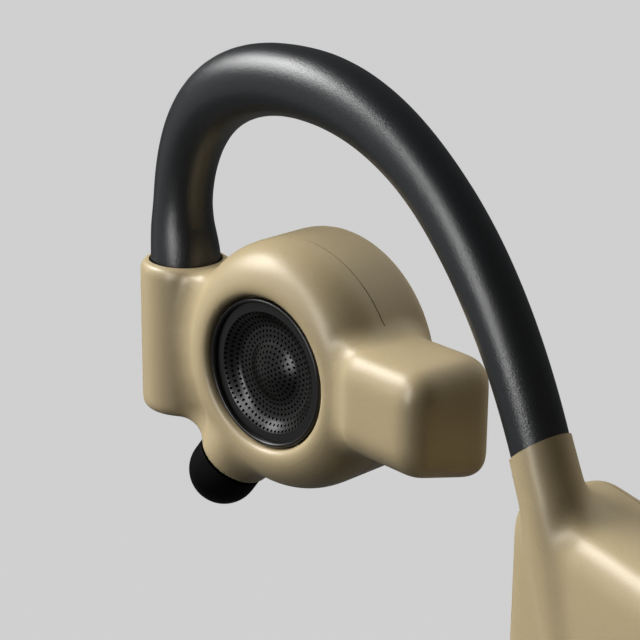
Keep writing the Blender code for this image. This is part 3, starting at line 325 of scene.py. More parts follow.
class StageSettings(bpy.types.PropertyGroup):
    azimuth: angle("Azimuth", "Camera's turn round the object", 45.4)
    elevation: angle("Elevation", "Camera's height over the horizon", 20.1)
    distance: length("Distance", "From the grille's middle to the camera", 0.16807)
    across: amount("Grille across", "Place of the grille's middle in the picture, from its left side", 0.4169)
    down: amount("Grille down", "Place of the grille's middle in the picture, from its top", 0.5825)
    lens: FloatProperty(name="Lens", description="Focal length on the camera's sensor", default=112.5,
                        min=1.0, unit="CAMERA")
    floor_drop: length("Floor drop", "From the hook's crest down to the floor", 0.30)
    floor_radius: length("Floor radius", "Radius of the flat floor before it sweeps up", 2.0)
    sweep: length("Sweep", "Height and radius of the sweep at the floor's edge", 0.8)
    plain: amount("Plain floor", "How much of the floor's tone takes no shadow", 0.94)
    floor_shade: amount("Floor shade", "Share of the backdrop's tone that the lamps light on the floor", 0.10)
    aim: FloatVectorProperty(name="Aim", description="Point that the lamps are turned to", size=3,
                             default=(0.010, 0.0, -0.018), subtype="XYZ", unit="LENGTH")
    lamp_distance: length("Lamp distance", "From the object to the soft boxes", 0.45)
    key: power("Key light", "The soft box on the left", 1.35)
    over: power("Over strip", "The long strip along the upper left", 1.0)
    front: power("Front strip", "The upright strip in front", 1.1)
    side: power("Side panel", "The broad panel on the left", 2.1)
    glow: power("Side glow", "The faint sheen on the left", 0.30)
    rim: power("Rim light", "The soft box behind", 1.6)
    fill: amount("Fill", "Strength of the surrounding light", 0.04)
    mirrored: amount("Mirrored", "How much of the backdrop shiny surfaces see", 0.12)


class HeadsetSettings(bpy.types.PropertyGroup):
    pod: PointerProperty(type=PodSettings)
    grille: PointerProperty(type=GrilleSettings)
    microphone: PointerProperty(type=MicrophoneSettings)
    hook: PointerProperty(type=HookSettings)
    housing: PointerProperty(type=HousingSettings)
    controls: PointerProperty(type=ControlSettings)
    finish: PointerProperty(type=FinishSettings)
    stage: PointerProperty(type=StageSettings)


class Socket:
    """A shader socket that takes part in sums; each sum adds its Math node."""

    def __init__(self, finish, link):
        self.finish = finish
        self.link = link

    def sum(self, operation, first, second):
        return self.finish.node("ShaderNodeMath", {"operation": operation}, {0: first, 1: second})

    def __add__(self, other):
        return self.sum("ADD", self, other)

    __radd__ = __add__

    def __sub__(self, other):
        return self.sum("SUBTRACT", self, other)

    def __rsub__(self, other):
        return self.sum("SUBTRACT", other, self)

    def __mul__(self, other):
        return self.sum("MULTIPLY", self, other)

    __rmul__ = __mul__

    def __gt__(self, other):
        return self.sum("GREATER_THAN", self, other)


class Finish:
    """A procedural material, or the world's light; node adds any node, shade feeds the shader."""

    def __init__(self, block, shader="Principled BSDF"):
        block.use_nodes = True
        self.block = block
        self.tree = block.node_tree
        self.shader = self.tree.nodes[shader]

    def node(self, kind, settings=None, inputs=None, output=0):
        made = self.tree.nodes.new(kind)
        for key, value in (settings or {}).items():
            setattr(made, key, value)
        for key, value in (inputs or {}).items():
            self.feed(made.inputs[key], value)
        return Socket(self, made.outputs[output])

    def feed(self, socket, value):
        if isinstance(value, Socket):
            self.tree.links.new(value.link, socket)
        else:
            socket.default_value = value

    def shade(self, **named):
        for key, value in named.items():
            self.feed(self.shader.inputs[key.replace("_", " ").title().replace("Ior", "IOR")], value)
        return self.block

    def place(self, centre=(0.0, 0.0, 0.0), turn=(0.0, 0.0, 0.0)):
        """Object coordinates about a point, in metres."""
        coords = self.node("ShaderNodeTexCoord", output="Object")
        moved = self.node("ShaderNodeVectorMath", {"operation": "SUBTRACT"}, {0: coords, 1: centre})
        return self.node("ShaderNodeMapping", None, {"Vector": moved, "Rotation": turn})

    def noise(self, at, size, detail=2.0, rough=0.5):
        """Noise from 0 to 1 whose grains are about the given size in metres."""
        return self.node("ShaderNodeTexNoise", None,
                         {"Vector": at, "Scale": 1.0 / size, "Detail": detail, "Roughness": rough})

    def cells(self, at, size, output="Distance", **more):
        """Cells of about the given size in metres: the distance to their points, or a colour for each."""
        return self.node("ShaderNodeTexVoronoi", None, {"Vector": at, "Scale": 1.0 / size, **more}, output)

    def wave(self, at, size, distortion, **settings):
        """Bands or rings whose spacing follows the given size in metres."""
        return self.node("ShaderNodeTexWave", settings,
                         {"Vector": at, "Scale": 1.0 / size, "Distortion": distortion})

    def mix(self, share, first, second):
        """A colour between two others; the Mix node's colours are its inputs 6 and 7 and its output 2."""
        inputs = {0: share}
        for place, tone in ((6, first), (7, second)):
            inputs[place] = tone if isinstance(tone, Socket) else (*tone, 1.0)
        return self.node("ShaderNodeMix", {"data_type": "RGBA"}, inputs, output=2)

    def bump(self, height, depth, strength):
        return self.node("ShaderNodeBump", None, {"Height": height, "Distance": depth, "Strength": strength})

    def seen(self, mirrored):
        """1 for what the camera sees, a share for what gloss and glass show, 0 for light that bounces."""
        level = path = self.node("ShaderNodeLightPath", output="Is Camera Ray")
        for kind in ("Is Glossy Ray", "Is Transmission Ray"):
            level = level + mirrored * Socket(self, path.link.node.outputs[kind])
        return level


def material(name):
    return Finish(bpy.data.materials.new(name))


def tint(tone, share):
    return tuple(min(1.0, part * share) for part in tone)


def champagne_finish(tone):
    """Satin metallic paint: fine flakes whose lighter tone is partly a painted glint, a faint cloud of tone
    and a soft orange-peel skin.
    """
    made = material("champagne_satin")
    at = made.place()
    flakes = made.cells(at, size=0.00011, output="Color")
    flake_tone_and_glint = made.node("ShaderNodeSeparateColor", None, {"Color": flakes})
    cloud = made.noise(at, size=0.006, detail=3.0)
    peel = made.noise(at, size=0.00045)
    base = made.mix(cloud, tint(tone, 0.95), tint(tone, 1.05))
    # Each flake lightens the base colour: partly the flakes' own tone, partly a painted glint that stands in
    # for their sparkle.
    base = made.mix(flake_tone_and_glint * 0.5, base, tint(tone, 1.14))
    skin = made.bump(peel * 0.7 + flake_tone_and_glint * 0.3, depth=0.000004, strength=0.5)
    return made.shade(base_color=base, metallic=0.03, roughness=0.33 + 0.05 * cloud + 0.03 * flake_tone_and_glint,
                      normal=skin)


def soft_black_finish(tone):
    """Soft-touch rubber skin with a fine moulded grain."""
    made = material("soft_touch_black")
    at = made.place()
    grain = made.noise(at, size=0.00014, detail=4.0, rough=0.62)
    pores = made.cells(at, size=0.00030)
    cloud = made.noise(at, size=0.004)
    base = made.mix(grain, tint(tone, 0.75), tint(tone, 1.35))
    skin = made.bump(grain * 0.85 + pores * 0.15, depth=0.000045, strength=0.6)
    return made.shade(base_color=base, roughness=0.27 + 0.05 * cloud + 0.06 * grain, specular_ior_level=0.8,
                      normal=skin)


def grained_finish(name, tone, grain, shades, roughness, relief, cloud=None, **more):
    """A skin whose tone and relief follow one grain. It takes the grain's size, detail and rough, the darkest
    and lightest shade, the least roughness and what the grain or a wider cloud adds to it, and the relief's
    depth and strength."""
    made = material(name)
    at = made.place()
    height = made.noise(at, *grain)
    least, spread = roughness
    worn = made.noise(at, cloud) if cloud else height
    base = made.mix(height, tint(tone, shades[0]), tint(tone, shades[1]))
    return made.shade(base_color=base, roughness=least + spread * worn, normal=made.bump(height, *relief),
                      **more)


def metal_finish(name, tone, roughness, scratch):
    """Bare or plated metal with fine turning marks."""
    made = material(name)
    drawn = made.node("ShaderNodeMapping", None, {"Vector": made.place(), "Scale": (1.0, 1.0, scratch)})
    marks = made.noise(drawn, size=0.0008, detail=4.0)
    base = made.mix(marks, tint(tone, 0.88), tint(tone, 1.08))
    return made.shade(base_color=base, metallic=1.0, roughness=roughness - 0.06 + 0.12 * marks,
                      normal=made.bump(marks, depth=0.000006, strength=0.3))


def wound_finish(tone):
    """Enamelled wire wound in close turns along the speaker's axis, with painted shade in the grooves between
    the turns.
    """
    made = material("wound_copper")
    turns = made.wave(made.place(), size=0.0012, distortion=0.2, wave_type="BANDS", bands_direction="Y",
                      wave_profile="SIN")
    # The colour falls below half in the grooves between the turns: painted shade.
    base = made.mix(turns, tint(tone, 0.45), tone)
    return made.shade(base_color=base, metallic=1.0, roughness=0.42 - 0.10 * turns,
                      normal=made.bump(turns, depth=0.00004, strength=0.6))


def film_finish(tone):
    """Thin moulded film with radial embossing."""
    made = material("diaphragm_film")
    at = made.place(centre_of("diaphragm"), (math.pi / 2, 0.0, 0.0))
    folds = made.wave(at, size=0.004, distortion=0.6, wave_type="RINGS", rings_direction="Z")
    base = made.mix(folds, tint(tone, 0.85), tone)
    return made.shade(base_color=base, roughness=0.26 + 0.10 * folds, coat_weight=0.3,
                      normal=made.bump(folds, depth=0.00003, strength=0.4))


def board_finish(tone):
    """Solder mask over copper tracks, with tinned pads."""
    made = material("board_solder_mask")
    at = made.place(turn=(math.pi / 2, 0.0, 0.0))
    tracks = made.node("ShaderNodeTexBrick", {"offset": 0.35, "squash": 0.7, "squash_frequency": 3},
                       {"Vector": at, "Scale": 1.0 / 0.0030, "Mortar Size": 0.06, "Mortar Smooth": 0.2},
                       output="Fac")
    pads = made.cells(at, size=0.0016, Randomness=0.6)
    tinned = 1.0 - (pads > 0.22)
    base = made.mix(tracks, tone, tint(tone, 1.9))
    base = made.mix(tinned, base, (0.70, 0.68, 0.62))
    return made.shade(base_color=base, metallic=tinned * 0.9, roughness=0.42 - 0.12 * tinned,
                      normal=made.bump(tracks, depth=0.00002, strength=0.5))


def foam_finish(tone):
    """Open foam with torn cells, with painted shade in the pores."""
    made = material("open_foam")
    torn = made.cells(made.place(), size=0.00035)
    # The colour is darkest in the middle of each cell, where the pores sink: painted shade in the hollows.
    base = made.mix(torn, tint(tone, 0.4), tint(tone, 1.6))
    return made.shade(base_color=base, roughness=0.92 + 0.06 * torn,
                      normal=made.bump(torn, depth=0.0002, strength=0.8))


FINISHED = {}


def finish(slot):
    """The material of one of the record's slots, made once."""
    chosen = bpy.context.scene.headset.finish
    makers = {
        "champagne": lambda: champagne_finish(chosen.champagne),
        "soft_black": lambda: soft_black_finish(chosen.soft_black),
        "grille_black": lambda: grained_finish(
            "grille_black_paint", chosen.grille_black, grain=(0.00012, 3.0), shades=(0.7, 1.5),
            roughness=(0.25, 0.08), relief=(0.00001, 0.4), cloud=0.003, metallic=0.1),
        "mic_black": lambda: grained_finish(
            "microphone_matte_black", chosen.mic_black, grain=(0.00016, 4.0, 0.6), shades=(0.7, 1.5),
            roughness=(0.50, 0.12), relief=(0.00003, 0.5), cloud=0.003, specular_ior_level=0.06),
        "steel": lambda: metal_finish("turned_steel", (0.55, 0.55, 0.56), roughness=0.30, scratch=6.0),
        "magnet": lambda: metal_finish("nickel_plate", (0.42, 0.41, 0.40), roughness=0.24, scratch=1.5),
        "copper": lambda: wound_finish((0.72, 0.36, 0.20)),
        "gold": lambda: metal_finish("gold_plate", (0.83, 0.62, 0.28), roughness=0.24, scratch=2.0),
        "film": lambda: film_finish((0.55, 0.52, 0.45)),
        "dark_plastic": lambda: grained_finish(
            "dark_plastic", (0.05, 0.05, 0.055), grain=(0.00025, 4.0, 0.6), shades=(0.7, 1.4),
            roughness=(0.45, 0.10), relief=(0.00003, 0.5)),
        "board": lambda: board_finish((0.03, 0.16, 0.08)),
        "foam": lambda: foam_finish((0.06, 0.06, 0.06)),
        "cell": lambda: grained_finish(
            "cell_foil", (0.62, 0.63, 0.66), grain=(0.0025, 5.0, 0.55), shades=(0.82, 1.08),
            roughness=(0.30, 0.14), relief=(0.0003, 0.5), metallic=0.7),
        "rubber": lambda: grained_finish(
            "black_rubber", (0.03, 0.03, 0.03), grain=(0.0003, 4.0, 0.6), shades=(0.7, 1.4),
            roughness=(0.73, 0.10), relief=(0.00005, 0.5)),
        "light": lambda: grained_finish(
            "light_guide", (0.85, 0.87, 0.85), grain=(0.00015, 3.0), shades=(0.9, 1.05),
            roughness=(0.18, 0.16), relief=(0.00001, 0.4), coat_weight=0.6),
    }
    if slot not in FINISHED:
        FINISHED[slot] = makers[slot]()
    return FINISHED[slot]


def centre_of(node):
    low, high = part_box(node)
    return (Vector(low) + Vector(high)) / 2


def joint_place(name):
    """A joint's place in the record."""
    joints = frame["record"]["behaviour"]["joints"]
    return Vector(next(joint["pos_m"] for joint in joints if joint["name"] == name))


def aimed(place, way):
    """A frame at a place, with +Z along a way."""
    return Matrix.Translation(place) @ way.to_track_quat("Z", "Y").to_matrix().to_4x4()


def pod_matrix():
    """The pod's own frame: the middle of the grille's rim plane, with +Y to the pod's back."""
    low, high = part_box("speaker_grille")
    return Matrix.Translation(((low[0] + high[0]) / 2, low[1], (low[2] + high[2]) / 2))


def hook_matrix(size):
    return Matrix.Translation(joint_place("pod_swivel")) @ Matrix.Rotation(-size.yaw, 4, "Z")


def barrel_matrix(pod):
    return pod_matrix() @ Matrix.Translation((-pod.barrel_reach, pod.barrel_depth, 0.0))


def microphone_matrix(size):
    """The collar's end, with +Z out of the collar."""
    radial = Vector((-math.sin(size.angle), 0.0, -math.cos(size.angle)))
    axis = radial * math.cos(size.lean) - Vector((0.0, 1.0, 0.0)) * math.sin(size.lean)
    return pod_matrix() @ aimed(radial * size.reach + Vector((0.0, size.depth, 0.0)), axis)


def tail_way(hook):
    """The way of the hook's tail in the hook's own frame."""
    return Vector((math.sin(hook.tail_angle), 0.0, -math.cos(hook.tail_angle)))


def tail_of(hook):
    """The place of the hook's tail and the way it runs into the housing."""
    turn = hook_matrix(hook)
    return turn @ Vector((hook.tail_run, 0.0, hook.tail_rise)), turn.to_3x3() @ tail_way(hook)


def housing_matrix(hook, housing):
    """The housing's own frame: its front end's upper edge, +X to the rear end, +Y outward."""
    tail, way = tail_of(hook)
    face = Matrix.Rotation(-housing.yaw, 4, "Z")
    mouth = face @ Vector((housing.socket_setback, -housing.socket_side, 0.0))
    return Matrix.Translation(tail + way * housing.socket - mouth) @ face


def socket_matrix(hook):
    """The hook's tail, with +Z into the housing."""
    return aimed(*tail_of(hook))


def mouth_matrix(hook, housing):
    """The middle of the column's mouth, with +Z into the column across the tilted joint."""
    column = socket_matrix(hook)
    rear = Matrix.Rotation(-housing.yaw, 3, "Z") @ Vector((1.0, 0.0, 0.0))
    way = column.to_3x3() @ Vector((0.0, 0.0, 1.0)) + rear * math.tan(housing.mouth_tilt)
    return aimed(column.to_translation(), way)


def on_face(here, spot):
    """A place on the middle plane of the housing, with the housing's own turn."""
    return here @ Matrix.Translation((spot.x, 0.0, spot.z))


def spot_of(here, node):
    """A node's middle in the housing's own frame."""
    return here.inverted() @ centre_of(node)


def through_face(here, node):
    """A node's place on the middle plane of the housing, with +Z outward."""
    return on_face(here, spot_of(here, node)) @ TURN_TO_DEPTH


def arc(centre, radii, start, end, points=10):
    """Points on an ellipse's arc, from one angle to another in degrees."""
    angles = [math.radians(start + (end - start) * i / points) for i in range(points + 1)]
    return [(centre[0] + radii[0] * math.cos(a), centre[1] + radii[1] * math.sin(a)) for a in angles]


def lower_edge(radius, height, edge, points=10):
    """The rounded lower rim of a turned profile."""
    return arc((radius - edge, height + edge), (edge, edge), -90, 0, points)


def upper_edge(radius, height, edge, points=10):
    """The rounded upper rim of a turned profile."""
    return arc((radius - edge, height - edge), (edge, edge), 0, 90, points)


def circle(number, radius, shift=0.0):
    """Spots spaced evenly on a circle, shifted by a share of their spacing."""
    turns = [math.tau * (i + shift) / number for i in range(number)]
    return [(radius * math.cos(turn), radius * math.sin(turn)) for turn in turns]


def set_in(bm, place):
    """The shape moved to its place, with its faces outward."""
    bmesh.ops.transform(bm, matrix=place, verts=bm.verts)
    bmesh.ops.recalc_face_normals(bm, faces=bm.faces)
    return bm


def spun(profile, place, steps=TURN, ring=False):
    """A solid turned about its own Z from points of radius and height, set in its place."""
    bm = bmesh.new()
    line = [bm.verts.new((radius, 0.0, height)) for radius, height in profile]
    edges = [bm.edges.new(pair) for pair in zip(line, line[1:])]
    if ring:
        edges.append(bm.edges.new((line[-1], line[0])))
    bmesh.ops.spin(bm, geom=line + edges, cent=(0, 0, 0), axis=(0, 0, 1), angle=math.tau, steps=steps,
                   use_merge=True)
    bmesh.ops.remove_doubles(bm, verts=bm.verts, dist=MERGE)
    return set_in(bm, place)


def disc(radius, low, high, place, steps=TURN):
    return spun([(0.0, low), (radius, low), (radius, high), (0.0, high)], place, steps)


def ring(inner, outer, low, high, place, steps=TURN):
    return spun([(inner, low), (outer, low), (outer, high), (inner, high)], place, steps, ring=True)


def drills(spots, radius, sides, place):
    """Straight drills of one radius, in one mesh, at spots in the plane of a place."""
    bm = bmesh.new()
    for x, y in spots:
        bmesh.ops.create_cone(bm, cap_ends=True, segments=sides, radius1=radius, radius2=radius, depth=DRILL,
                              matrix=place @ Matrix.Translation((x, y, 0.0)))
    return bm


def block(low, high, place, edge=0.0, corner=None, segments=EDGE_STEPS):
    """A box between two corners with rounded edges; corner may move each of its eight points."""
    bm = bmesh.new()
    bmesh.ops.create_cube(bm, size=2.0)
    for vert in bm.verts:
        spot = [high[i] if vert.co[i] > 0 else low[i] for i in range(3)]
        vert.co = corner(*spot) if corner else spot
    if edge:
        bmesh.ops.bevel(bm, geom=bm.edges[:], offset=edge, segments=segments, profile=0.5, affect="EDGES",
                        clamp_overlap=True, material=-1)
    return set_in(bm, place)


def capsule(span, width, low, high, place, edge=0.0):
    """A bar with round ends along X, from one depth to another along Y; edge rounds its outer rim."""
    bm = bmesh.new()
    half = (span - width) / 2
    radii = (width / 2, width / 2)
    ends = arc((half, 0), radii, -90, 90, points=20) + arc((-half, 0), radii, 90, 270, points=20)
    face = bm.faces.new([bm.verts.new((x, low, z)) for x, z in ends])
    grown = bmesh.ops.extrude_face_region(bm, geom=[face])
    lifted = [item for item in grown["geom"] if isinstance(item, bmesh.types.BMVert)]
    bmesh.ops.translate(bm, vec=(0, high - low, 0), verts=lifted)
    if edge:
        rim = [e for e in bm.edges if all(abs(v.co.y - high) < MERGE for v in e.verts)]
        bmesh.ops.bevel(bm, geom=rim, offset=edge, segments=KEY_EDGE_STEPS, profile=0.5, affect="EDGES",
                        material=-1)
    return set_in(bm, place)


def meshed(name, bm):
    """A mesh of a finished shape."""
    mesh = bpy.data.meshes.new(name)
    bm.to_mesh(mesh)
    bm.free()
    return mesh


def taken(mesh):
    """The shape of a passing mesh, which is removed."""
    bm = bmesh.new()
    bm.from_mesh(mesh)
    bpy.data.meshes.remove(mesh)
    return bm


def linked(name, data):
    """A new object in the scene."""
    obj = bpy.data.objects.new(name, data)
    bpy.context.scene.collection.objects.link(obj)
    return obj


def joined(*shapes):
    """One bmesh of several."""
    bm = bmesh.new()
    for shape in shapes:
        mesh = meshed("passing", shape)
        bm.from_mesh(mesh)
        bpy.data.meshes.remove(mesh)
    return bm


def holder(bm):
    """A passing object that modifiers work on."""
    return linked("passing", meshed("passing", bm))


def settled(obj, *others):
    """The object's shape with its modifiers worked in; the passing objects are removed."""
    bm = taken(bpy.data.meshes.new_from_object(obj.evaluated_get(bpy.context.evaluated_depsgraph_get())))
    for gone in (obj, *others):
        mesh = gone.data
        bpy.data.objects.remove(gone)
        bpy.data.meshes.remove(mesh)
    return bm


def combined(bm, operation, *tools):
    """A solid joined with, cut by or kept inside others."""
    body = holder(bm)
    others = [holder(tool) for tool in tools]
    for other in others:
        step = body.modifiers.new("combine", "BOOLEAN")
        step.operation = operation
        step.solver = "MANIFOLD"
        step.object = other
    return settled(body, *others)


def blended(bm, radius, grain, smoothing):
    """Overlapping solids as one skin, with a fillet of the radius rolled into every inside corner. It is
    worked in millimetres, because voxels in metres would be too small."""
    bmesh.ops.scale(bm, vec=(1 / MILLI,) * 3, verts=bm.verts)
    body = holder(bm)

    def mend():
        step = body.modifiers.new("skin", "REMESH")
        step.mode = "VOXEL"
        step.voxel_size = grain / MILLI
        smooth(MENDING)

    def smooth(rounds):
        step = body.modifiers.new("smooth", "SMOOTH")
        step.factor = 0.5
        step.iterations = rounds

    def grow(depth):
        step = body.modifiers.new("grow", "DISPLACE")
        step.mid_level = 0.0
        step.strength = depth / MILLI

    mend()
    grow(radius)
    mend()
    grow(-radius)
    mend()
    smooth(smoothing)
    made = settled(body)
    bmesh.ops.scale(made, vec=(MILLI,) * 3, verts=made.verts)
    return made


def piece(name, bm, body, slot, *nodes, sharp=40.0):
    """A finished piece on its body, in place of the nodes that it stands for."""
    mesh = meshed(name, bm)
    mesh.shade_smooth()
    mesh.set_sharp_from_angle(angle=math.radians(sharp))
    mesh.materials.append(finish(slot))
    obj = linked(name, mesh)
    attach(obj, body)
    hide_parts(*nodes)


class HEADSET_OT_inside(bpy.types.Operator):
    """Finishes of the driver, swivel, hook core, boards, cell and switches inside the shells"""
    bl_idname = "headset.inside"
    bl_label = "Inside Finishes"

    def execute(self, context):
        for row in frame["record"]["subparts"]:
            obj = frame["nodes"][row["node"]]
            made = finish(row["material_slot"])
            if not obj.material_slots:
                obj.data.materials.append(made)
            for place in obj.material_slots:
                place.material = made
        return {"FINISHED"}


class HEADSET_OT_pod(bpy.types.Operator):
    """Front shell with barrel, wing and collar, rear cover behind the parting line, and the barrel's plug"""
    bl_idname = "headset.pod"
    bl_label = "Pod Shells"

    def execute(self, context):
        pod = context.scene.headset.pod
        mic = context.scene.headset.microphone
        turned = pod_matrix() @ TURN_TO_DEPTH
        wing_place = pod_matrix() @ Matrix.Rotation(-pod.wing_yaw, 4, "Z")
        barrel_place = barrel_matrix(pod)
        collar_place = microphone_matrix(mic)
        cavity = pod.radius - pod.wall
        root = cavity - pod.wall

        profile = [(0.0, pod.back / 2), (pod.mouth, pod.back / 2)]
        profile += arc((pod.nose_radius, 0.0), (pod.nose_radius - pod.mouth, pod.nose_rise), 180, 270)
        profile += arc((pod.nose_radius, pod.nose_depth),
                       (pod.radius - pod.nose_radius, pod.nose_depth + pod.nose_rise), 270, 360)[1:]
        profile += upper_edge(pod.radius, pod.back, pod.back_edge) + [(0.0, pod.back)]

        def wing(grow, start, edge):
            def corner(x, y, z):
                low = pod.wing_low_in if y < 0 else pod.wing_low_out
                return (x, y, z if z > 0 else -low - grow)

            low = (start, -pod.wing_in - grow, -pod.wing_low_out - grow)
            high = (pod.wing_end + grow, pod.wing_out + grow, pod.wing_top + grow)
            return block(low, high, wing_place, edge, corner)

        def barrel(grow):
            radius = pod.barrel_radius + grow
            low = -pod.barrel_bottom - grow
            high = pod.barrel_top + grow
            outline = [(0.0, low)] + lower_edge(radius, low, pod.barrel_edge)
            outline += upper_edge(radius, high, pod.barrel_edge) + [(0.0, high)]
            return spun(outline, barrel_place)

        def collar(grow):
            radius = pod.collar_radius + grow
            start = root - mic.reach - grow
            outline = [(0.0, start), (radius + pod.collar_flare, start)]
            outline += upper_edge(radius, 0.0, pod.collar_edge) + [(0.0, 0.0)]
            return spun(outline, collar_place)

        solids = joined(spun(profile, turned), barrel(0.0), wing(0.0, root, pod.wing_edge), collar(0.0))
        skin = blended(solids, pod.blend, pod.grain, pod.smoothing)

        hollow = disc(cavity, pod.ledge_back + HAIR, pod.back - pod.wall, turned)
        low = (root, -pod.wing_in + pod.wall, -pod.wing_low_in + pod.wall)
        high = (pod.wing_end - pod.wall, pod.wing_out - pod.wall, pod.wing_top - pod.wall)
        chamber = block(low, high, wing_place)
        floor = pod.barrel_top - pod.recess_depth
        shoulder = -pod.barrel_bottom + pod.shoulder
        bore = [(0.0, -FAR), (pod.chamber, -FAR), (pod.chamber, shoulder), (pod.stem_hole, shoulder)]
        bore += [(pod.stem_hole, floor), (pod.recess_radius, floor), (pod.recess_radius, FAR), (0.0, FAR)]
        seat = disc(mic.seat_radius, -mic.seat_depth, DRILL, collar_place)
        skin = combined(skin, "DIFFERENCE", hollow, chamber, spun(bore, barrel_place), seat)
        ledge = ring(pod.ledge_inner, pod.ledge_outer, pod.ledge_front, pod.ledge_back, turned)
        skin = combined(skin, "UNION", ledge)

        def rear_zone(start):
            zone = disc(PARTING, start, PARTING, turned)
            return combined(zone, "DIFFERENCE", wing(pod.cover_wing_gap, root - MILLI, pod.cover_wing_edge),
                            barrel(pod.cover_gap), collar(pod.cover_gap))

        half = pod.seam_width / 2
        cover = combined(skin.copy(), "INTERSECT", rear_zone(pod.seam_depth + half))
        front = combined(skin, "DIFFERENCE", rear_zone(pod.seam_depth - half))
        piece("front_shell", front, "pod", "champagne", "pod_front_shell")
        piece("rear_cover", cover, "pod", "champagne", "pod_rear_cover")

        low = -pod.barrel_bottom
        bed = low + pod.plug_dish_depth
        high = low + pod.plug_height
        plug = [(0.0, bed), (pod.plug_dish - HAIR, bed), (pod.plug_dish, low)]
        plug += lower_edge(pod.plug_radius, low, pod.plug_edge, points=4)
        plug += [(pod.plug_radius, high), (0.0, high)]
        piece("lower_plug", spun(plug, barrel_place), "pod", "champagne", "barrel_plug")
        return {"FINISHED"}


class HEADSET_OT_grille(bpy.types.Operator):
    """Dished perforated sheet over the speaker and the rolled ring round it"""
    bl_idname = "headset.grille"
    bl_label = "Speaker Grille"

    def execute(self, context):
        size = context.scene.headset.grille
        turned = pod_matrix() @ TURN_TO_DEPTH
        shares = [i / size.steps for i in range(size.steps + 1)]
        front = []
        for share in shares:
            front.append((size.dome * share, size.dish - size.dome_rise * (1 - share ** 2)))
        for share in shares:
            radius = size.ramp_foot + (size.ramp_top - size.ramp_foot) * share
            front.append((radius, size.dish * (1 - share * share * (2 - share))))
        front.append((size.radius, 0.0))
        back = [(radius, depth + size.sheet) for radius, depth in reversed(front)]
        sheet = spun(front + back, turned, FINE_TURN)

        spots = [(0.0, 0.0)]
        for k in range(1, size.rings + 1):
            spots += circle(6 * k, k * size.pitch, shift=0.5 * (k % 2))
        middle = Matrix.Translation((0.0, 0.0, size.drill_middle))
        sheet = combined(sheet, "DIFFERENCE", drills(spots, size.hole, HOLE_SIDES, turned @ middle))
        piece("grille_sheet", sheet, "pod", "grille_black", "speaker_grille", sharp=30.0)

        half = size.ring_width / 2
        middle = size.radius - half + HAIR
        roll = arc((middle, -HAIR), (half, size.ring_rise), 180, 360, points=12)
        roll += [(middle + half, -size.ring_foot), (middle - half, -size.ring_foot)]
        piece("grille_ring", spun(roll, turned, FINE_TURN, ring=True), "pod", "grille_black", "grille_bezel")
        return {"FINISHED"}


class HEADSET_OT_microphone(bpy.types.Operator):
    """Domed cap of the stub microphone with its sound ports"""
    bl_idname = "headset.microphone"
    bl_label = "Microphone"

    def execute(self, context):
        size = context.scene.headset.microphone
        here = microphone_matrix(size)
        top = size.gap + size.straight
        profile = [(0.0, size.roof), (size.pocket, size.roof), (size.pocket, -size.skirt)]
        profile += [(size.skirt_radius, -size.skirt), (size.skirt_radius, size.gap)]
        profile += lower_edge(size.radius, size.gap, size.edge, points=4)
        profile += arc((0.0, top), (size.radius, size.radius), 0, 90, points=24)[:-1]
        profile += [(0.0, top + size.radius)]
        spots = [(0.0, 0.0)] + circle(size.ports, size.port_circle)
        middle = Matrix.Translation((0.0, 0.0, size.port_floor + DRILL / 2))
        cap = combined(spun(profile, here), "DIFFERENCE", drills(spots, size.port, PORT_SIDES, here @ middle))
        piece("microphone_dome", cap, "pod", "mic_black", "mic_cap")
        return {"FINISHED"}


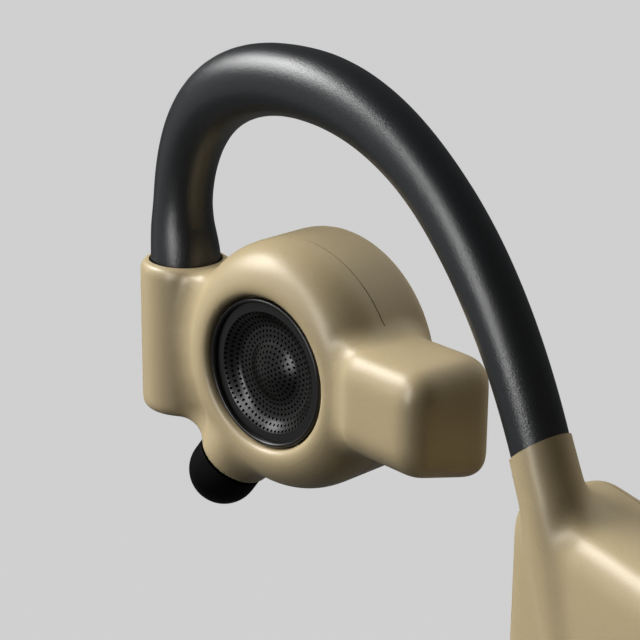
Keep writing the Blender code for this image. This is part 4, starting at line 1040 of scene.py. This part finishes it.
class HEADSET_OT_hook(bpy.types.Operator):
    """Soft skin of the hook from its base in the barrel over the ear to the housing"""
    bl_idname = "headset.hook"
    bl_label = "Hook"

    def execute(self, context):
        size = context.scene.headset.hook
        pod = context.scene.headset.pod
        up = Vector((0, 0, 1))
        back = Vector((1, 0, 0))
        base = Vector((0, 0, pod.barrel_top - pod.recess_depth + size.base_gap))
        neck = Vector((-size.neck_lean, 0, size.neck_rise))
        crest = Vector((size.crest_run, 0, size.crest_rise))
        tail = Vector((size.tail_run, 0, size.tail_rise))
        way = tail_way(size)
        foot = (neck.z - base.z) / 3

        def stretch(start, first, second, end, steps):
            points = []
            for i in range(steps):
                t = i / steps
                s = 1 - t
                points.append(s ** 3 * start + 3 * s * s * t * first + 3 * s * t * t * second + t ** 3 * end)
            return points

        steps = size.steps
        points = stretch(base, base + up * foot, neck - up * foot, neck, steps // 2)
        points += stretch(neck, neck + up * size.neck_handle, crest - back * size.front_handle, crest, steps)
        points += stretch(crest, crest + back * size.rear_handle, tail - way * size.tail_handle, tail, steps)
        points += [tail, tail + way * 2 * size.tail_radius]

        # The step of the line at which each radius is reached; between them it eases along the line's length.
        stations = (
            (0, size.base_radius),
            (steps // 2 + steps // 12, size.neck_radius),
            (steps + steps // 6, size.arch_radius),
            (steps + steps // 2, size.crest_radius),
            (2 * steps, size.slope_radius),
            (len(points) - 1, size.tail_radius),
        )
        along = [0.0]
        for first, second in zip(points, points[1:]):
            along.append(along[-1] + (second - first).length)
        radii = []
        for (first, thick), (last, thin) in zip(stations, stations[1:]):
            for i in range(first, last):
                u = (along[i] - along[first]) / (along[last] - along[first])
                radii.append(thick + (thin - thick) * u * u * (3 - 2 * u))
        radii.append(size.tail_radius)

        curve = bpy.data.curves.new("hook_line", "CURVE")
        curve.dimensions = "3D"
        curve.bevel_depth = 1.0
        curve.bevel_resolution = size.round_steps
        curve.use_fill_caps = True
        line = curve.splines.new("POLY")
        line.points.add(len(points) - 1)
        for spot, place, radius in zip(line.points, points, radii):
            spot.co = (*place, 1.0)
            spot.radius = radius
        passing = bpy.data.objects.new("passing", curve)
        bm = taken(bpy.data.meshes.new_from_object(passing))
        bpy.data.objects.remove(passing)
        bpy.data.curves.remove(curve)
        bmesh.ops.remove_doubles(bm, verts=bm.verts, dist=MERGE)
        skin = set_in(bm, hook_matrix(size))
        housing = context.scene.headset.housing
        below = disc(housing.mouth_cut, -size.tail_gap, FAR, mouth_matrix(size, housing))
        piece("hook_skin", combined(skin, "DIFFERENCE", below), "hook", "soft_black", "hook_sleeve")
        return {"FINISHED"}


class HEADSET_OT_housing(bpy.types.Operator):
    """Inner shell with the column that takes the hook, and the outer shell with its openings"""
    bl_idname = "headset.housing"
    bl_label = "Housing Shells"

    def execute(self, context):
        size = context.scene.headset.housing
        hook = context.scene.headset.hook
        keys = context.scene.headset.controls
        here = housing_matrix(hook, size)
        column = socket_matrix(hook)
        fall = math.tan(size.slope)
        half = size.thick / 2

        def form(inset):
            drawn = inset / math.cos(size.slope)

            def corner(x, y, z):
                return (x, y, -x * fall - drawn if z > inset - size.height else z)

            low = (inset, inset - half, inset - size.height)
            high = (size.span - inset, half - inset, 0.0)
            return block(low, high, here, size.edge - inset, corner, HOUSING_EDGE_STEPS)

        toe = size.socket + size.socket_toe
        profile = [(0.0, -size.socket_radius), (size.socket_radius, -size.socket_radius)]
        profile += [(size.socket_swell, size.socket), (size.socket_root, toe), (0.0, toe)]
        start = Vector((size.socket_setback, -size.socket_side, 0.0))
        drop = Vector((math.sin(size.rib_slope), 0.0, -math.cos(size.rib_slope))) * size.rib
        drop.y = size.socket_side + size.rib_end - half - size.rib_rise
        ridge = [(0.0, 0.0), (size.socket_swell, 0.0), (size.rib_end, drop.length), (0.0, drop.length)]
        solids = joined(form(0.0), spun(profile, column), spun(ridge, here @ aimed(start, drop)))
        skin = blended(solids, size.blend, size.grain, size.smoothing)
        mouth = disc(size.mouth_cut, -size.mouth_cut, 0.0, mouth_matrix(hook, size))
        bore = disc(size.bore, -3 * HAIR, size.socket + 2 * size.wall, column, BORE_TURN)
        skin = combined(skin, "DIFFERENCE", mouth, form(size.wall), bore)

        split = half - size.lid
        gap = size.seam_width / 2
        far = 3 * FAR
        outer_zone = block((-far, split + gap, -far), (far, far, far), here)
        inner_zone = block((-far, split - gap, -far), (far, far, far), here)
        outer = combined(skin.copy(), "INTERSECT", outer_zone)
        inner = combined(skin, "DIFFERENCE", inner_zone)
        low = -size.height - MILLI
        for name in PINS:
            spot = spot_of(here, name)
            place = here @ Matrix.Translation((spot.x, spot.y, 0.0))
            inner = combined(inner, "DIFFERENCE", disc(size.pin_hole, low, low + DRILL, place, BORE_TURN))
        piece("inner_shell", inner, "hook", "champagne", "housing_inner_shell")

        tools = []
        for name, radius in (("power_button", size.button_hole), ("light_pipe", size.light_hole)):
            tools.append(disc(radius, split, FAR, through_face(here, name), HOLE_TURN))
        place = on_face(here, spot_of(here, "volume_rocker"))
        tools.append(capsule(keys.rocker_span + size.rocker_gap, keys.rocker_width + size.rocker_gap, split,
                             FAR, place))
        outer = combined(outer, "DIFFERENCE", *tools)
        head = half - size.wall + HAIR
        bosses = []
        for name in SCREWS:
            place = through_face(here, name)
            bosses.append(ring(size.boss_bore, size.boss_radius, size.boss_foot, head, place, BOSS_TURN))
        outer = combined(outer, "UNION", *bosses)
        piece("outer_shell", outer, "hook", "champagne", "housing_outer_shell")
        return {"FINISHED"}


class HEADSET_OT_controls(bpy.types.Operator):
    """Power button, volume rocker, light guide and charging pins"""
    bl_idname = "headset.controls"
    bl_label = "Controls and Pins"

    def execute(self, context):
        housing = context.scene.headset.housing
        size = context.scene.headset.controls
        here = housing_matrix(context.scene.headset.hook, housing)
        half = housing.thick / 2
        top = half + size.rise

        flange = half - housing.wall - HAIR
        nub = flange - size.nub_depth
        under = flange - size.flange_thick
        profile = [(0.0, nub), (size.nub_radius, nub), (size.nub_radius, under), (size.flange_radius, under)]
        profile += [(size.flange_radius, flange), (size.button_radius, flange)]
        profile += upper_edge(size.button_radius, top, size.edge, points=8)
        profile += [(size.button_dish, top - size.button_dish_rim)]
        profile += [(size.button_bed, top - size.button_bed_rim), (0.0, top - size.button_bed_depth)]
        button = spun(profile, through_face(here, "power_button"))
        piece("power_key", button, "power", "champagne", "power_button")

        axis = here.inverted() @ joint_place("volume_rock")
        place = on_face(here, axis)
        cap = capsule(size.rocker_span, size.rocker_width, axis.y, top, place, size.edge)
        skirt = capsule(size.rocker_span + size.skirt, size.rocker_width + size.skirt,
                        axis.y - size.skirt_low, axis.y + size.skirt_high, place)
        rocker = combined(cap, "UNION", skirt)
        reach = size.rocker_span / 2 - size.mark_inset

        def mark(x, arm, rise):
            low = (x - arm, top - size.mark_depth, -rise)
            return block(low, (x + arm, top + MILLI, rise), place)

        plus = (mark(reach, size.mark_arm, size.mark_half), mark(reach, size.mark_half, size.mark_arm))
        minus = mark(-reach, size.mark_arm, size.mark_half)
        rocker = combined(rocker, "DIFFERENCE", *plus, minus)
        piece("volume_key", rocker, "volume", "champagne", "volume_rocker")

        profile = [(0.0, size.light_foot), (size.light_radius, size.light_foot)]
        profile += [(size.light_radius, half - HAIR), (size.light_radius - HAIR, half)]
        profile += [(0.0, half + HAIR / 2)]
        guide = spun(profile, through_face(here, "light_pipe"), KEY_TURN)
        piece("light_guide", guide, "hook", "light", "light_pipe")

        profile = [(0.0, HAIR), (size.pin_dish, size.pin_edge)]
        profile += lower_edge(size.pin_radius, size.pin_edge, size.pin_edge, points=4)
        profile += [(size.pin_radius, size.pin_neck), (size.pin_flange, size.pin_neck)]
        profile += [(size.pin_flange, size.pin_height), (0.0, size.pin_height)]
        for name in PINS:
            spot = spot_of(here, name)
            pin = spun(profile, here @ Matrix.Translation((spot.x, spot.y, -housing.height)), KEY_TURN)
            piece(name.replace("charging_", "contact_"), pin, "hook", "gold", name)
        return {"FINISHED"}


class HEADSET_OT_stage(bpy.types.Operator):
    """Pale floor, soft lights and the camera"""
    bl_idname = "headset.stage"
    bl_label = "Stage"

    def execute(self, context):
        scene = context.scene
        stage = scene.headset.stage
        tone = scene.headset.finish.backdrop
        self.camera(scene, stage)
        self.floor(stage, tone)

        sky = Finish(bpy.data.worlds.new("studio"), "Background")
        level = sky.seen(stage.mirrored)
        level = level.sum("MAXIMUM", level, stage.fill)
        scene.world = sky.shade(color=(*tone, 1.0), strength=level)
        for name in LAMPS:
            self.lamp(stage, name)
        scene.view_settings.view_transform = "Standard"
        return {"FINISHED"}

    def camera(self, scene, stage):
        """A camera at the photograph's angle, with the grille at its place in the picture."""
        cosine = math.cos(stage.elevation)
        back = Vector((math.sin(stage.azimuth) * cosine, -math.cos(stage.azimuth) * cosine,
                       math.sin(stage.elevation)))
        right = Vector((math.cos(stage.azimuth), math.sin(stage.azimuth), 0.0))
        up = back.cross(right)
        eye = linked("camera", bpy.data.cameras.new("camera"))
        eye.data.sensor_width = SENSOR
        eye.data.lens = stage.lens
        eye.data.clip_start = NEAR
        square = SENSOR / stage.lens
        sight = Vector(((stage.across - 0.5) * square, (0.5 - stage.down) * square, -1.0))
        swing = sight.rotation_difference(Vector((0.0, 0.0, -1.0))).to_matrix()
        turn = Matrix((right, up, back)).transposed() @ swing
        grille = pod_matrix().to_translation()
        eye.matrix_world = Matrix.Translation(grille + back * stage.distance) @ turn.to_4x4()
        scene.camera = eye

    def floor(self, stage, tone):
        """A wide floor that sweeps up at its edge, plain to the camera apart from the object's shadow."""
        sweep = [(0.0, 0.0), (stage.floor_radius, 0.0)]
        sweep += arc((stage.floor_radius, stage.sweep), (stage.sweep, stage.sweep), -90, 0, points=24)
        bm = spun(sweep, Matrix.Translation((0.0, 0.0, -stage.floor_drop)))
        bmesh.ops.reverse_faces(bm, faces=bm.faces)
        mesh = meshed("floor", bm)
        mesh.shade_smooth()
        linked("floor", mesh)
        made = material("floor_pale")
        share = made.seen(stage.mirrored) * stage.plain
        lit = made.node("ShaderNodeBsdfDiffuse", None, {"Color": (*tint(tone, stage.floor_shade), 1.0)})
        plain = made.node("ShaderNodeEmission", None, {"Color": (*tone, 1.0), "Strength": 1.0})
        surface = made.node("ShaderNodeMixShader", None, {0: share, 1: lit, 2: plain})
        made.feed(made.tree.nodes["Material Output"].inputs["Surface"], surface)
        mesh.materials.append(made.block)

    def lamp(self, stage, name):
        """A soft box in its direction from the object, turned to it."""
        setting, way, width, height, lights, gleams = LAMPS[name]
        data = bpy.data.lights.new(name, "AREA")
        data.shape = "RECTANGLE"
        data.size = width
        data.size_y = height
        data.energy = getattr(stage, setting)
        obj = linked(name, data)
        obj.visible_camera = False
        obj.visible_diffuse = lights
        obj.visible_glossy = gleams
        out = Vector(way).normalized() * stage.lamp_distance
        obj.matrix_world = aimed(Vector(stage.aim) + out, out)


class HEADSET_PT_pieces(bpy.types.Panel):
    bl_label = "Headset"
    bl_idname = "HEADSET_PT_pieces"
    bl_space_type = "VIEW_3D"
    bl_region_type = "UI"
    bl_category = "Headset"

    def draw(self, context):
        for step in STEPS:
            self.layout.operator(step.bl_idname)


STEPS = (
    HEADSET_OT_inside,
    HEADSET_OT_pod,
    HEADSET_OT_grille,
    HEADSET_OT_microphone,
    HEADSET_OT_hook,
    HEADSET_OT_housing,
    HEADSET_OT_controls,
    HEADSET_OT_stage,
)

CLASSES = (
    PodSettings,
    GrilleSettings,
    MicrophoneSettings,
    HookSettings,
    HousingSettings,
    ControlSettings,
    FinishSettings,
    StageSettings,
    HeadsetSettings,
    *STEPS,
    HEADSET_PT_pieces,
)


def register():
    for item in CLASSES:
        bpy.utils.register_class(item)
    bpy.types.Scene.headset = PointerProperty(type=HeadsetSettings)


def unregister():
    del bpy.types.Scene.headset
    for item in reversed(CLASSES):
        bpy.utils.unregister_class(item)


def main():
    register()
    bpy.ops.headset.inside()
    bpy.ops.headset.pod()
    bpy.ops.headset.grille()
    bpy.ops.headset.microphone()
    bpy.ops.headset.hook()
    bpy.ops.headset.housing()
    bpy.ops.headset.controls()
    bpy.ops.headset.stage()


if __name__ == "__main__":
    main()
